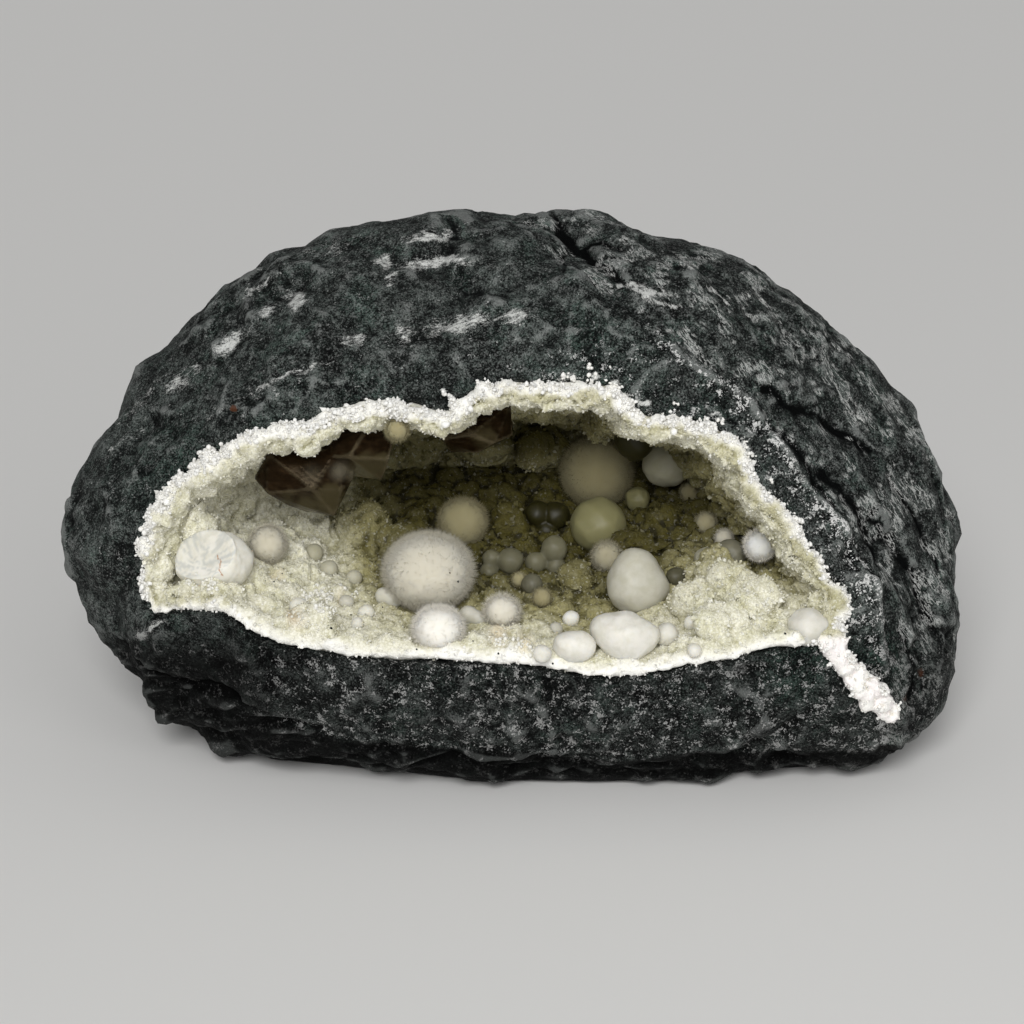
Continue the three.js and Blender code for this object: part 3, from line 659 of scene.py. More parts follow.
def basalt_finish(look):
    """Weathered basalt with its grain, flecks, smears, cracks and stains, and painted shade and highlights.
    """
    f = Finish("Weathered basalt")
    flank = f.mark("flank")
    relief = f.mark("relief")
    blotch = f.grain(7, 4, 0.65)
    mottle = f.grain(2.2, 4, 0.75)
    grit = f.grain(0.42, 2, 1.0)
    speck = f.pebbles(0.34, "Color")
    layers = f.grain(1.2, 4, 0.75, f.turned((FLANK_ALONG * 0.25, FLANK_OVER, TOWARD * 0.6)))
    streak = f.grain(0.75, 5, 0.9, f.turned((SMEAR_ALONG * 0.26, SMEAR_OVER, TOWARD * 0.8)))
    streak = streak * (1 - flank) + layers * flank
    # Raised relief a little lighter in the tone: a slight painted highlight.
    tone = blotch * 0.7 + mottle * 0.8 + grit * 1.3 + (layers - 0.5) * flank * 0.32 + relief.clip() * 0.2
    colour = f.mix(tone.above(1.24, 1.84), rgb(look.dark), rgb(look.light))
    spots = (0.3 - f.pebbles(6) + (mottle - 0.5) * 0.5).above(0.0, 0.1) * f.grain(16, 2).above(0.46, 0.52)
    colour = f.mix(spots * 0.65, colour, rgb(look.dark))
    tint = (f.grain(9, 4, 0.7).above(0.5, 0.62) * 0.5 + f.mark("green")).clip()
    colour = f.mix(tint * 0.8, colour, rgb(look.green), "MULTIPLY")
    colour = f.mix((1 - speck.above(0.2, 0.3)) * 0.7, colour, rgb(look.dark))
    colour = f.mix((speck + (mottle - 0.5) * 0.6).above(0.72, 0.82) * 0.3, colour, rgb(look.wear_and_highlight))
    # Painted shade: hollows of the relief and the gouges darkened to near black.
    crease_shade = ((0 - relief).above(0.25, 1.0) * 0.8 + f.mark("crack")).clip()
    colour = f.mix(crease_shade, colour, rgb(look.crack))
    # Painted highlight: raised ridges lightened.
    colour = f.mix((relief + (grit - 0.5) * 2.5).above(0.25, 1.0) * 0.55, colour, rgb(look.wear_and_highlight))
    dense = f.mark("flecks") + (layers - 0.5) * flank * 1.2
    clump = f.grain(2.4, 3, 0.75)
    fleck = (clump * 1.5 + grit * 0.7 + speck * 0.3 + dense * 0.22 - 1.57).above(0.0, 0.09)
    fleck = fleck * (0.2 + dense * 0.65 + (grit - 0.5) * 1.5) * (1 - flank * 0.4)
    colour = f.mix(fleck.clip(), colour, rgb(look.fleck))
    chalk = (f.mark("smear") * 1.4 + (streak - 0.5) * 2.9 + (grit - 0.5) * 1.2 - 0.64).above(0.0, 0.55)
    colour = f.mix(chalk * (1 - crease_shade * 0.8), colour, rgb(look.smear))
    line = (0.0014 - (layers - 0.5) ** 2).above(0.0, 0.0013) * flank * f.grain(7, 3, 0.6).above(0.5, 0.58)
    colour = f.mix(line * 0.6, colour, rgb(look.smear))
    rust = (f.mark("rust") * 0.7 + mottle * 0.7 - 0.75).above(0.0, 0.22)
    colour = f.mix(rust * 0.85, colour, rgb(look.rust))
    # Painted shade: the stone darkened under its lower edge and along its foot, more at the left, with ledge
    # ridges kept a little lighter.
    underside_shade = f.mark("underside_shade") * (0.97 - relief.above(0.6, 1.4) * 0.2)
    colour = f.mix(underside_shade, colour, rgb(look.underside_shade), "MULTIPLY")
    sockets = {
        "Base Color": colour, "Roughness": 0.5 + mottle * 0.3, "Specular IOR Level": 0.07,
        "Normal": f.bump(mottle + grit * 0.5 + layers * flank * 0.4 + chalk * 0.06, 1.3),
    }
    return f.surface(sockets)


def druse_finish(look, name, clear, beads):
    """Druse of one kind: how clear its crystals are, 0 to 1, and how strongly they stand out as beads."""
    f = Finish(name)
    # How much painted shade the hollow's depth gives.
    depth = f.mark("depth")
    rim = f.mark("rim")
    own = f.mark("own")
    relief = f.mark("relief")
    bead = f.pebbles(0.75)
    small_bead = f.pebbles(0.42)
    tone = f.pebbles(0.75, "Color") * 0.6 + f.pebbles(0.42, "Color") * 0.6
    patch = f.grain(6, 3, 0.6)
    greenish = (patch.above(0.4, 0.7) * 0.65 + (tone - 0.6) * 0.8 + own * 0.2).clip()
    colour = f.mix(greenish, rgb(look.floor), rgb(look.green))
    # Painted shade: darker between the lumps and between the beads, then darker all over deeper in the
    # hollow.
    between = (0 - relief).above(0.0, 0.9) * (0.25 + depth * 0.6)
    between = (between + (bead + small_bead).above(0.7, 1.3) * beads * 0.9 * (1 - rim * 0.7)).clip()
    colour = f.mix(between, colour, rgb(look.crevice_shade), "MULTIPLY")
    colour = f.mix(depth.above(0.0, 0.55), colour, rgb(look.olive_shade), "MULTIPLY")
    colour = f.mix(depth.above(0.35, 1.0), colour, rgb(look.deep), "MULTIPLY")
    colour = f.mix(((0 - relief).above(0.0, 0.7) * depth).clip(), colour, rgb(look.void), "MULTIPLY")
    colour = f.mix(f.mark("warm"), colour, rgb(look.warm))
    edge = f.mix((0 - relief).above(0.0, 0.8) * 0.85, rgb(look.rim), rgb(look.rim_shade))
    colour = f.mix(rim, colour, edge)
    colour = f.mix(f.mark("vein") * (0.25 + f.grain(3, 3, 0.6).above(0.4, 0.6) * 0.7), colour, rgb(look.vein))
    # Painted glints: random crystals and cells turned near white as highlights, fewer where the painted shade
    # is deep.
    glints = ((own**3) * 0.7 + tone.above(0.85, 1.0) * beads) * (1 - depth * 0.8).clip()
    colour = f.mix(glints.clip(), colour, rgb(look.glint))
    normal = f.bump((0 - bead) * 1.0 - small_bead * 0.5 + tone * 0.3, 0.3, 0.3 + beads * 0.5)
    sockets = {
        "Base Color": colour, "Roughness": 0.3 + rim * 0.3 + depth.clip() * 0.3, "Normal": normal,
        "Subsurface Weight": clear, "Subsurface Radius": (1.0, 1.0, 1.0), "Subsurface Scale": 0.0007,
        "Specular IOR Level": 0.22 - beads * 0.34,
    }
    return f.surface(sockets)


def fibre_colour(f, look, depth):
    """The okenite's own colour, with painted shade that darkens it deep in the hollow."""
    colour = f.mix(f.grain(1.8, 4, 0.7).above(0.3, 0.7) * 0.5, rgb(look.light), rgb(look.shade))
    return f.mix(depth, colour, rgb(look.deep), "MULTIPLY")


def fibre_finish(look, depth):
    """The fibres that stand out of a puffball."""
    f = Finish("Okenite fibres")
    sockets = {"Base Color": fibre_colour(f, look, depth), "Roughness": 0.8, "Specular IOR Level": 0.15}
    return f.surface(sockets)


def core_finish(look, depth):
    """The soft white mass that the fibres stand on."""
    f = Finish("Matted okenite")
    sockets = {
        "Base Color": fibre_colour(f, look, depth), "Roughness": 0.85, "Specular IOR Level": 0.15,
        "Subsurface Weight": 1.0, "Subsurface Radius": (1.0, 0.96, 0.88), "Subsurface Scale": 0.003,
    }
    return f.surface(sockets)


def pearl_finish(look):
    """The smooth balls, cloudy and white near the light, with painted shade that turns them dark olive deep
    in the hollow.
    """
    f = Finish("Pearly okenite")
    cloud = f.grain(2.6, 4, 0.6)
    hollow_shade = f.mark("hollow_shade")
    colour = f.mix(cloud.above(0.35, 0.7) * 0.8, rgb(look.light), rgb(look.shade))
    # Painted shade: dark olive deep in the hollow, and darker still where SHADED says.
    colour = f.mix(hollow_shade, colour, rgb(look.hollow_shade))
    colour = f.mix(f.mark("shaded"), colour, rgb(look.shaded), "MULTIPLY")
    colour = f.mix(f.mark("streak") * 0.75, colour, rgb(look.streak))
    rust = (f.mark("rust") + f.grain(0.6, 3, 0.8) * 1.6 - 1.35).above(0.0, 0.45)
    colour = f.mix(rust * 0.75, colour, rgb(look.rust))
    normal = f.bump(f.grain(0.9, 3, 0.6) * 0.6 + f.grain(0.3, 2) * 0.2, 0.16, 0.3)
    sockets = {
        "Base Color": colour, "Roughness": 0.38 + cloud * 0.2, "Normal": normal, "Specular IOR Level": 0.3,
        "Subsurface Weight": 0.8, "Subsurface Radius": (1.0, 0.92, 0.78), "Subsurface Scale": 0.0022,
    }
    return f.surface(sockets)


def calcite_finish(look):
    """Smoky calcite, clearer where it is thin."""
    f = Finish("Smoky calcite")
    bands = f.grain(2.2, 4, 0.65, f.stretched((0.5, 1.6, 1.6), (0.3, 0.5, 0.2)))
    thin = (f.mark("thin") + (bands - 0.5) * 0.8).above(0.15, 0.7)
    colour = f.mix(bands.above(0.4, 0.75), rgb(look.smoke), rgb(look.pale))
    colour = f.mix(thin, colour, rgb(look.clear))
    # Painted highlight: pale lines along the blades' convex edges.
    colour = f.mix(f.mark("edge").above(0.3, 1.2) * 0.4, colour, rgb(look.edge))
    colour = f.mix(f.mark("flake") * 0.8, colour, rgb(look.flake))
    sockets = {
        "Base Color": colour, "Roughness": 0.13 + bands * 0.16, "IOR": 1.6,
        "Transmission Weight": 0.5, "Normal": f.bump(bands, 0.2, 0.25), "Specular IOR Level": 0.02,
        "Specular Tint": rgb(look.shine),
    }
    return f.surface(sockets)


# ---- What a user may change -------------------------------------------------------------------------------
def colour_property(name, description, default):
    """A colour that a user may change."""
    return FloatVectorProperty(
        name=name, description=description, default=default, size=3, min=0, max=1, subtype="COLOR"
    )


def length_property(name, description, default):
    """A length that a user may change."""
    return FloatProperty(
        name=name, description=description, default=default, min=0, unit="LENGTH", precision=5
    )


def strength_property(name, description, default):
    """A strength that a user may change."""
    return FloatProperty(name=name, description=description, default=default, min=0)


def count_property(name, description, default):
    """A number of things that a user may change."""
    return IntProperty(name=name, description=description, default=default, min=1)


class StoneLook(bpy.types.PropertyGroup):
    net: length_property("Net", "Size of the stone's faces where it isn't seen", 0.00235)
    relief: strength_property("Relief", "How strong the lumps and scars are", 1.0)
    dark: colour_property("Dark", "Darkest basalt", (0.004, 0.0046, 0.0045))
    light: colour_property("Light", "Lightest basalt", (0.165, 0.19, 0.176))
    green: colour_property("Green", "Tint of the greenish patches", (0.62, 0.98, 0.84))
    # Pale specks, and the painted highlight on ridges.
    wear_and_highlight: colour_property("Worn", "Worn ridges", (0.28, 0.29, 0.28))
    fleck: colour_property("Flecks", "Small white flecks", (0.78, 0.78, 0.76))
    smear: colour_property("Smears", "Chalky smears", (0.78, 0.79, 0.76))
    rust: colour_property("Rust", "Rusty spots", (0.11, 0.04, 0.018))
    # Painted shade in cracks, gouges and creases.
    crack: colour_property("Cracks", "Inside cracks and creases", (0.0015, 0.002, 0.002))
    # Painted shade below the overhang and at the foot.
    underside_shade: colour_property("Gloom", "Tint below the overhang and at the foot", (0.02, 0.02, 0.02))


class DruseLook(bpy.types.PropertyGroup):
    net: length_property("Net", "Size of the lining's faces where it isn't seen", 0.00128)
    crystal: length_property("Crystal", "Length of a usual crystal", 0.00046)
    rim_crystal: length_property("Rim crystal", "Length of a crystal on the broken edge", 0.00055)
    count: count_property("Crystals", "How many crystals line each half of the hollow", 15000)
    rim_count: count_property("Rim crystals", "How many stand on the broken edge", 4000)
    sprigs: count_property("Sprigs", "How many knobbly sprigs stand on the broken edge", 1900)
    grain: length_property("Grain", "Radius of a grain in a sprig", 0.00041)
    rim: colour_property("Rim", "The broken edge", (0.95, 0.93, 0.87))
    floor: colour_property("Floor", "Crystals near the light", (0.88, 0.86, 0.745))
    green: colour_property("Green", "Greenish crystals", (0.72, 0.7, 0.5))
    # Painted shade, multiplied in: between lumps and beads, half way in, deep in the hollow, and between the
    # lumps there.
    crevice_shade: colour_property("Crevice", "Tint between the lumps and beads", (0.5, 0.48, 0.34))
    olive_shade: colour_property("Olive", "Tint of the crystals half way in", (0.48, 0.45, 0.26))
    deep: colour_property("Deep", "Further tint of those deep in the hollow", (0.2, 0.19, 0.087))
    void: colour_property("Void", "Tint between the lumps deep in the hollow", (0.44, 0.44, 0.3))
    rim_shade: colour_property("Rim shade", "Between the knobs of the broken edge", (0.6, 0.57, 0.45))
    vein: colour_property("Vein", "The vein below the hollow's right corner", (0.93, 0.865, 0.85))
    warm: colour_property("Warm", "Patches of a peach colour", (0.72, 0.6, 0.42))
    # Colour of the painted glints.
    glint: colour_property("Glint", "The clearest crystals", (0.95, 0.945, 0.9))


class PuffballLook(bpy.types.PropertyGroup):
    density: strength_property("Fibres", "Fibres on a square millimetre, before they thin out", 15.0)
    width: length_property("Width", "Half the width of a fibre at its root", 0.00004)
    light: colour_property("Light", "Fibres", (1.0, 0.968, 0.9))
    shade: colour_property("Shade", "Greyer fibres", (0.95, 0.905, 0.815))
    # Painted shade for puffballs deep in the hollow.
    deep: colour_property("Deep", "Tint of those deep in the hollow", (0.335, 0.31, 0.195))


class BallLook(bpy.types.PropertyGroup):
    light: colour_property("Light", "Whitest balls", (0.86, 0.84, 0.78))
    shade: colour_property("Shade", "Cloudy parts", (0.72, 0.7, 0.61))
    # Painted shade of the balls deep in the hollow.
    hollow_shade: colour_property("Glassy", "Balls deep in the hollow", (0.245, 0.23, 0.112))
    shaded: colour_property("Shaded", "Further tint of those in the shade", (0.1, 0.095, 0.045))
    streak: colour_property("Streak", "Glassy streaks of a cleaved ball", (0.55, 0.56, 0.53))
    rust: colour_property("Rust", "A rusty crack", (0.42, 0.19, 0.075))


class CalciteLook(bpy.types.PropertyGroup):
    net: length_property("Net", "Size of the blades' faces", 0.00042)
    smoke: colour_property("Smoke", "Smoky brown", (0.016, 0.0088, 0.0037))
    pale: colour_property("Pale", "Paler bands", (0.05, 0.03, 0.014))
    clear: colour_property("Clear", "Thin parts that the druse's light comes through", (0.085, 0.07, 0.034))
    shine: colour_property("Shine", "Tint of what the blades mirror", (0.18, 0.14, 0.09))
    # Painted highlight along the blades' edges.
    edge: colour_property("Edge", "Along the blades' edges", (0.2, 0.165, 0.1))
    flake: colour_property("Flake", "Flakes and pale coats", (0.26, 0.235, 0.17))


class StageLook(bpy.types.PropertyGroup):
    floor: colour_property("Floor", "The plain floor", (0.74, 0.735, 0.72))
    key: strength_property("Key", "Strength of the main light", 1.9)
    fill: strength_property("Fill", "Strength of the side light", 0.95)
    sky: strength_property("Sky", "Strength of the light all round", 0.26)


class GeodeLook(bpy.types.PropertyGroup):
    stone: PointerProperty(type=StoneLook)
    druse: PointerProperty(type=DruseLook)
    puffball: PointerProperty(type=PuffballLook)
    ball: PointerProperty(type=BallLook)
    calcite: PointerProperty(type=CalciteLook)
    stage: PointerProperty(type=StageLook)


# ---- Pieces -----------------------------------------------------------------------------------------------
def blots(flat, spots):
    """1 in the middle of round spots, fading to 0 at their radius."""
    total = np.zeros(len(flat))
    for across, up, radius, strength in spots:
        away = np.hypot(flat[:, 0] - across, flat[:, 1] - up) / radius
        total = np.maximum(total, strength * (1 - step(0.0, 1.4, away)))
    return total


def smears_at(flat):
    """How chalky the stone is, from the list of smears."""
    total = np.zeros(len(flat))
    for across, up, length, width, turn, strength in SMEARS:
        t = math.radians(turn)
        away = flat - (across, up)
        along = (away[:, 0] * math.cos(t) + away[:, 1] * math.sin(t)) / (length / 2)
        beside = (away[:, 1] * math.cos(t) - away[:, 0] * math.sin(t)) / (width / 2)
        total = np.maximum(total, strength * (1 - step(0.0, 2.4, np.hypot(along, beside))))
    return total


def outer_skin():
    """The stone's outer skin without its hollow, as a search tree."""
    points, triangles = corners_of("basalt")
    crust = tree_of(*corners_of("druse_crust"))
    return tree_of(points, triangles[nearest(crust, points[triangles].mean(1)) > 0.8])


def gloom_at(toward):
    """How little light reaches so deep into the hollow, 0 to 1."""
    return step(30, -16, toward)


# How squarely the stone looks toward the eye where its net is split once, and where twice.
FINER_FROM = (-0.08, 0.34)


def stone_net(size):
    """The stone's net, finest where the eye sees it, and how far from the druse each of its points lies."""
    skin = tree_of(*corners_of("basalt"))
    crust = tree_of(*corners_of("druse_crust"))
    mouth = outer_skin()
    points, faces = remeshed(*corners_of("basalt"), size)
    points = relaxed(points, faces, 5, 0.5 * step(1.5, 5, nearest(crust, points)))
    for limit in FINER_FROM:
        outward = normals_of(points, faces) @ TOWARD > limit
        shown = outward & (beneath(mouth, points) < 2.0) & (points[:, 2] > 0.5)
        points, faces = finer_where(points, faces, shown[faces].all(1))
    from_crust = nearest(crust, points)
    held = 1 - step(1.0, 6.0, from_crust)
    points = points + (on_surface(skin, points) - points) * held[:, None]
    return relaxed(points, faces, 6, 0.5 * (1 - held) + 0.1 * held), faces, from_crust


def stone_zones(points, normals):
    """Where each point is seen, and how far it belongs to the parts of the stone that differ."""
    place = as_seen(points)
    ridge = line_distance(place[:, :2], RIGHT_RIDGE)
    return {
        "place": place,
        "facing": step(-0.1, 0.25, normals @ TOWARD),
        "ridge": ridge,
        "right": step(0.0, 3.0, ridge) * step(-30, -10, place[:, 2]),
        "below": step(0.0, 2.5, -line_distance(place[:, :2], LOWER_EDGE)) * step(20, 45, -place[:, 1]),
    }


def stone_rise(points, place, facing, ridge, right, below):
    """How far lumps, chips, ledges and gouges lift each point, and how deep in a gouge it lies, 0 to 1, for
    its painted shade.
    """
    slanted = np.stack([
        place[:, 0] * 0.82 + place[:, 1] * 0.57,
        (place[:, 0] * 0.57 - place[:, 1] * 0.82) / 4.5,
        place[:, 2] / 1.8,
    ], 1)
    layered = np.stack([place[:, 0] / 6, place[:, 1] * 1.2, place[:, 2] / 2.5], 1)
    rough = 0.5 + step(-0.2, 0.4, rumple(points, 17, 1, 5.0))
    rise = rumple(points, 22, 2) * 0.6 + rumple(points, 2.2, 3) * 0.12 * rough
    rise += chips(points, 16, 1.5) * (1 - 0.6 * right) + chips(points, 6.5, 0.65, 9.0) * rough
    rise += chips(slanted, 6.0, 0.6, 4.0) * right + chips(slanted * 2.4, 6.0, 0.14, 2.0) * right
    rise += chips(layered, 4.8, 1.5, 6.0) * below + chips(layered * 2.2, 4.8, 0.6, 3.0) * below
    rise += 0.8 * np.exp(-(((ridge - 0.4) / 1.1) ** 2)) * facing
    wavy = place[:, :2] + rumple(points, 4.0, 2)[:, None] * 0.35
    crack_shade = np.zeros(len(points))
    for line, width, depth in GOUGES:
        side = line_distance(wavy, line) / width
        away = np.where(side > 0, side * 2.0, -side * 0.75)
        rise -= depth * 0.95 * np.exp(-away) * facing
        # How far inside the gouge each point lies, for the gouge's painted shadow.
        crack_shade = np.maximum(crack_shade, np.exp(-(away**2) * 1.8) * min(depth / 1.2, 1.0) * facing)
    return rise, crack_shade


def stone_marks(points, faces, normals, from_crust, crack_shade, zones):
    """The numbers that the stone's finish reads at each point."""
    facing = zones["facing"]
    flat = as_seen(points)[:, :2]
    across, up = flat.T
    under_edge = -line_distance(flat, LOWER_EDGE)
    finely = 0.15 + 0.85 * step(0.0, 0.35, normals @ TOWARD)
    relief = ((points - relaxed(points, faces, 14)) * normals).sum(1) * 3.0
    halo = (1 - step(3, 15, from_crust)) * step(-25, 30, across) * (up > -30)
    lip = step(26, 34, -up) * (1 - step(10, 24, under_edge))
    edge = np.exp(-((zones["ridge"] / 2.2) ** 2)) * 0.8
    # Painted shade under the lower edge and along the foot, more to the left.
    undercut = step(0.0, 2.0, under_edge) * step(20, 40, -up)
    foot = step(20, 34, -up) * (0.5 + 0.47 * step(38, 64, -across))
    warped = flat + np.stack([rumple(points, 3, 2), rumple(points, 3, 2, 50.0)], 1)
    return {
        "relief": relief * step(1.0, 4.5, from_crust) * finely,
        "crack": crack_shade,
        "flank": zones["right"] * facing,
        "flecks": np.clip(0.1 + 0.6 * halo + 0.75 * lip + edge, 0, 1.2) * (0.5 + 0.5 * facing),
        "underside_shade": np.maximum(undercut, foot),
        "smear": smears_at(warped) * facing,
        "green": blots(warped, GREEN_PATCHES) * facing,
        "rust": blots(warped, RUST_SPOTS) * facing,
    }


class GEODE_OT_stone(bpy.types.Operator):
    """Adds the basalt, with its scars, ledges, cracks and chalky smears"""

    bl_idname = "geode.stone"
    bl_label = "Basalt stone"

    def execute(self, context):
        look = context.scene.geode.stone
        points, faces, from_crust = stone_net(look.net / MM)
        normals = relaxed(normals_of(points, faces), faces, 4)
        zones = stone_zones(points, normals)
        rise, crack_shade = stone_rise(points, **zones)
        grip = 0.25 + 0.75 * step(0.3, 3.0, from_crust)
        standing = step(0.3, 4.0, points[:, 2])
        points = points + normals * (rise * look.relief * grip * standing)[:, None]
        points[:, 2] = np.maximum(points[:, 2], 0.0)
        marks = stone_marks(points, faces, normals, from_crust, crack_shade, zones)
        make_piece("basalt_stone", points, faces, [basalt_finish(look)], ["basalt"], marks)
        return {"FINISHED"}


def bare(stone, where, facing, gap, reach):
    """Whether each place is bare, so that a ray along its normal meets no stone within its reach."""
    rays = zip((where + facing * gap).tolist(), facing.tolist())
    return np.array([stone.ray_cast(at, way, reach)[0] is None for at, way in rays])


def clear_of_balls(points):
    """0 at the skin of a puffball or ball and inside it, 1 from 2 mm away."""
    away = np.full(len(points), np.inf)
    for node in BALLS:
        for centre, radius in lobes_of(node):
            away = np.minimum(away, np.linalg.norm(points - centre, axis=1) - radius)
    return step(-0.5, 2.0, away)


def pits(points):
    """How far the lining stands back around balls that have sunk into the hollow's walls."""
    place = as_seen(points)
    back = np.zeros(len(points))
    for node in SUNKEN:
        centre, radius = lobes_of(node)[0]
        across, up, toward = as_seen(centre[None])[0]
        aside = np.hypot(place[:, 0] - across, place[:, 1] - up) / radius
        ahead = place[:, 2] - toward
        near = (1 - step(0.95, 1.35, aside)) * (1 - step(4.0, 6.0, ahead))
        back = np.maximum(back, np.clip(ahead + 0.4 * radius, 0, 4.5) * near)
    return back


def lining_net(size, stone):
    """The druse's skin, finest where the eye sees it."""
    points, faces = remeshed(*corners_of("druse_crust"), size)
    points = relaxed(points, faces, 3)
    normals = normals_of(points, faces)
    shown = bare(stone, points, normals, gap=0.1, reach=3.0) & (normals @ TOWARD > -0.15)
    points, faces = finer_where(points, faces, shown[faces].all(1))
    return relaxed(points, faces, 2), faces


def lining_rise(points, place, rim, lip, vein, heap, inset):
    """How far the lining stands out: bunches of buds inside, higher in heaps, and knobs on the rim."""
    inner = buds(points, 5.2, 1.9) + buds(points, 2.4, 0.8, 4.0) + heap * (buds(points, 3.2, 1.5, 1.0) + 0.8)
    inner = inner + step(12, -8, place[:, 2]) * buds(points, 7.0, 2.2, 6.0)
    knobs = buds(points, 3.0, 1.3, 2.0) + rumple(points, 4.5, 2) * 0.9
    rise = inner * (1 - rim) + buds(points, 2.2, 0.6, 4.0) * (1 - lip * 0.85) * rim
    rise += buds(points, 1.15, 0.34, 8.0) * (1 - lip * 0.5)
    rise += rim * (1 - lip) * knobs * (1 - 0.6 * vein)
    rise += lip * (rumple(points, 1.6, 3) * 0.3 + 0.1)
    rise -= rim * (1 - lip) * inset * 0.55
    return rise * (0.1 + 0.9 * clear_of_balls(points))


class Lining:
    """The druse's skin with its lumps, what is known of its points and faces, and what grows on it."""

    def __init__(self, size, draw):
        self.draw = draw
        self.stone = tree_of(*corners_of("basalt"))
        self.points, self.faces = lining_net(size, self.stone)
        self.known = self.swell()
        self.of_face = {key: values[self.faces].mean(1) for key, values in self.known.items()}

    def swell(self):
        """Raises the skin's lumps and gives the numbers for each point."""
        points, faces = self.points, self.faces
        normals = relaxed(normals_of(points, faces), faces, 2)
        place = as_seen(points)
        across, up, toward = place.T
        under = beneath(outer_skin(), points)
        rim = 1 - step(2.0, 5.0, under)
        lip = rim * step(18, 24, -up) * (1 - step(60, 66, across))
        vein = step(66, 69, across) * step(26.5, 29, -up)
        heap = blots(place[:, :2], HEAPS) * (1 - rim)
        from_edge = nearest(self.stone, points)
        width = 1.5 + step(10, -30, across) * step(-20, 0, up) + rumple(points, 3.5, 2) * 0.9
        band = 1 - step(-0.5, 0.9, from_edge - width)
        lip_band = step(0.3, 0.6, lip) * (1 - step(2.6, 5.6, from_edge + rumple(points, 2.5, 2) * 0.7))
        white = np.maximum((1 - step(1.0, 4.0, under)) * np.maximum(band, lip_band), vein)
        rise = lining_rise(points, place, rim, lip, vein, heap, np.clip(from_edge - width, 0, 3.5))
        points = points + normals * rise[:, None] - TOWARD * pits(points)[:, None]
        # Painted shade by depth in the hollow, less on the left wall, the mound and the roof, and a little on
        # the crust just inside the white rim.
        roof = step(0.0, -0.9, normals @ UP)
        lit = (1 - 0.95 * step(-20, -46, across)) * (1 - 0.6 * blots(place[:, :2], MOUND))
        depth = step(40, -12, toward) * lit * (1 - 0.55 * roof) + rim * (1 - lip) * (1 - white) * 0.25
        relief = ((points - relaxed(points, faces, 5)) * normals).sum(1) * 3
        warm = blots(place[:, :2], WARM_PATCHES)
        self.points = points
        return {
            "under": under, "lip": lip, "heap": heap, "relief": relief, "depth": depth, "rim": white,
            "warm": warm, "vein": vein,
        }

    def growth(self):
        """How thickly crystals and sprigs stand on each face, for each piece of them."""
        middles = self.points[self.faces].mean(1)
        across = as_seen(middles)[:, 0]
        lip, rim, vein = (self.of_face[key] for key in ("lip", "rim", "vein"))
        inner = step(2.0, 4.5, self.of_face["under"])
        facing = np.clip(facing_of(self.points, self.faces), 0, 1)
        shown = (0.35 + facing) * (1 - 0.6 * np.clip(self.of_face["depth"], 0, 1))
        clumps = 0.15 + step(-0.2, 0.5, rumple(middles, 3.0, 2))
        return {
            "left_crystals": inner * (across < 0) * shown,
            "right_crystals": inner * (across >= 0) * shown,
            "rim_crystals": (1 - inner) * (1 - lip * 0.5) * (1 - vein * 0.7),
            "rim_sprigs": step(0.3, 0.9, rim) * (1 - step(0.0, 0.3, lip)) * (1 - 0.85 * vein) * clumps,
        }

    def add_skin(self, finish):
        """Adds the skin itself."""
        known = self.known
        marks = {
            "depth": known["depth"], "rim": known["rim"], "relief": known["relief"],
            "own": rumple(self.points, 1.2) * 0.2 + 0.4, "warm": known["warm"], "vein": known["vein"],
        }
        make_piece("druse_lining", self.points, self.faces, [finish], ["druse_crust"], marks)

    def bare_places(self, count, tries, weights):
        """Bare places strewn over the skin by weight: where, the normal there and the face."""
        where, facing, picked = strewn(self.points, self.faces, tries, weights, self.draw)
        kept = np.flatnonzero(bare(self.stone, where, facing, gap=0.15, reach=2.5))[:count]
        return where[kept], facing[kept], picked[kept]

    def add_crystals(self, name, count, weights, size, tumble, finish):
        """Adds a piece of crystals, which lean from the skin's normal by the tumble."""
        where, facing, picked = self.bare_places(count, count * 2, weights)
        axes = unit(facing + self.draw.normal(0, tumble, where.shape))
        in_heaps = 1 + 0.5 * self.of_face["heap"][picked]
        lengths = size * self.draw.lognormal(-0.1, 0.35, len(where)) * in_heaps
        widths = lengths * self.draw.uniform(0.35, 0.55, len(where))
        shape, triangles = crystals(where, axes, lengths, widths, self.draw)
        marks = {
            "depth": self.of_face["depth"][picked],
            "rim": self.of_face["rim"][picked],
            "own": self.draw.random(len(where)),
            "relief": self.of_face["relief"][picked] + 0.1,
        }
        marks = {key: np.repeat(values, CRYSTAL_POINTS) for key, values in marks.items()}
        make_piece(name, shape, triangles, [finish], (), marks, smooth=False)

    def add_sprigs(self, name, count, weights, size, finish):
        """Adds a piece of knobbly sprigs."""
        where, facing, _ = self.bare_places(count, count * 3, weights)
        outward = unit(facing + TOWARD * 0.2 + self.draw.normal(0, 0.45, where.shape))
        sizes = size * self.draw.lognormal(-0.05, 0.3, len(where))
        places, sizes = sprigs(where, outward, sizes, 3, self.draw)
        place_grains(name, places, sizes, finish, 1.0, self.draw)


def facing_of(points, faces):
    """How squarely each face looks toward the eye, 1 at most."""
    a, b = points[faces[:, 1]] - points[faces[:, 0]], points[faces[:, 2]] - points[faces[:, 0]]
    return unit(np.cross(a, b)) @ TOWARD


def place_grains(name, places, sizes, finish, rim, draw):
    """Adds a piece of druse made of grains, as white as the rim says."""
    shape, triangles = grains(places, sizes, draw)
    ones = np.ones(len(shape))
    own = np.repeat(draw.random(len(places)), len(shape) // len(places))
    marks = {"depth": ones * 0.0, "rim": ones * rim, "own": own, "relief": ones * 0.1}
    make_piece(name, shape, triangles, [finish], (), marks)


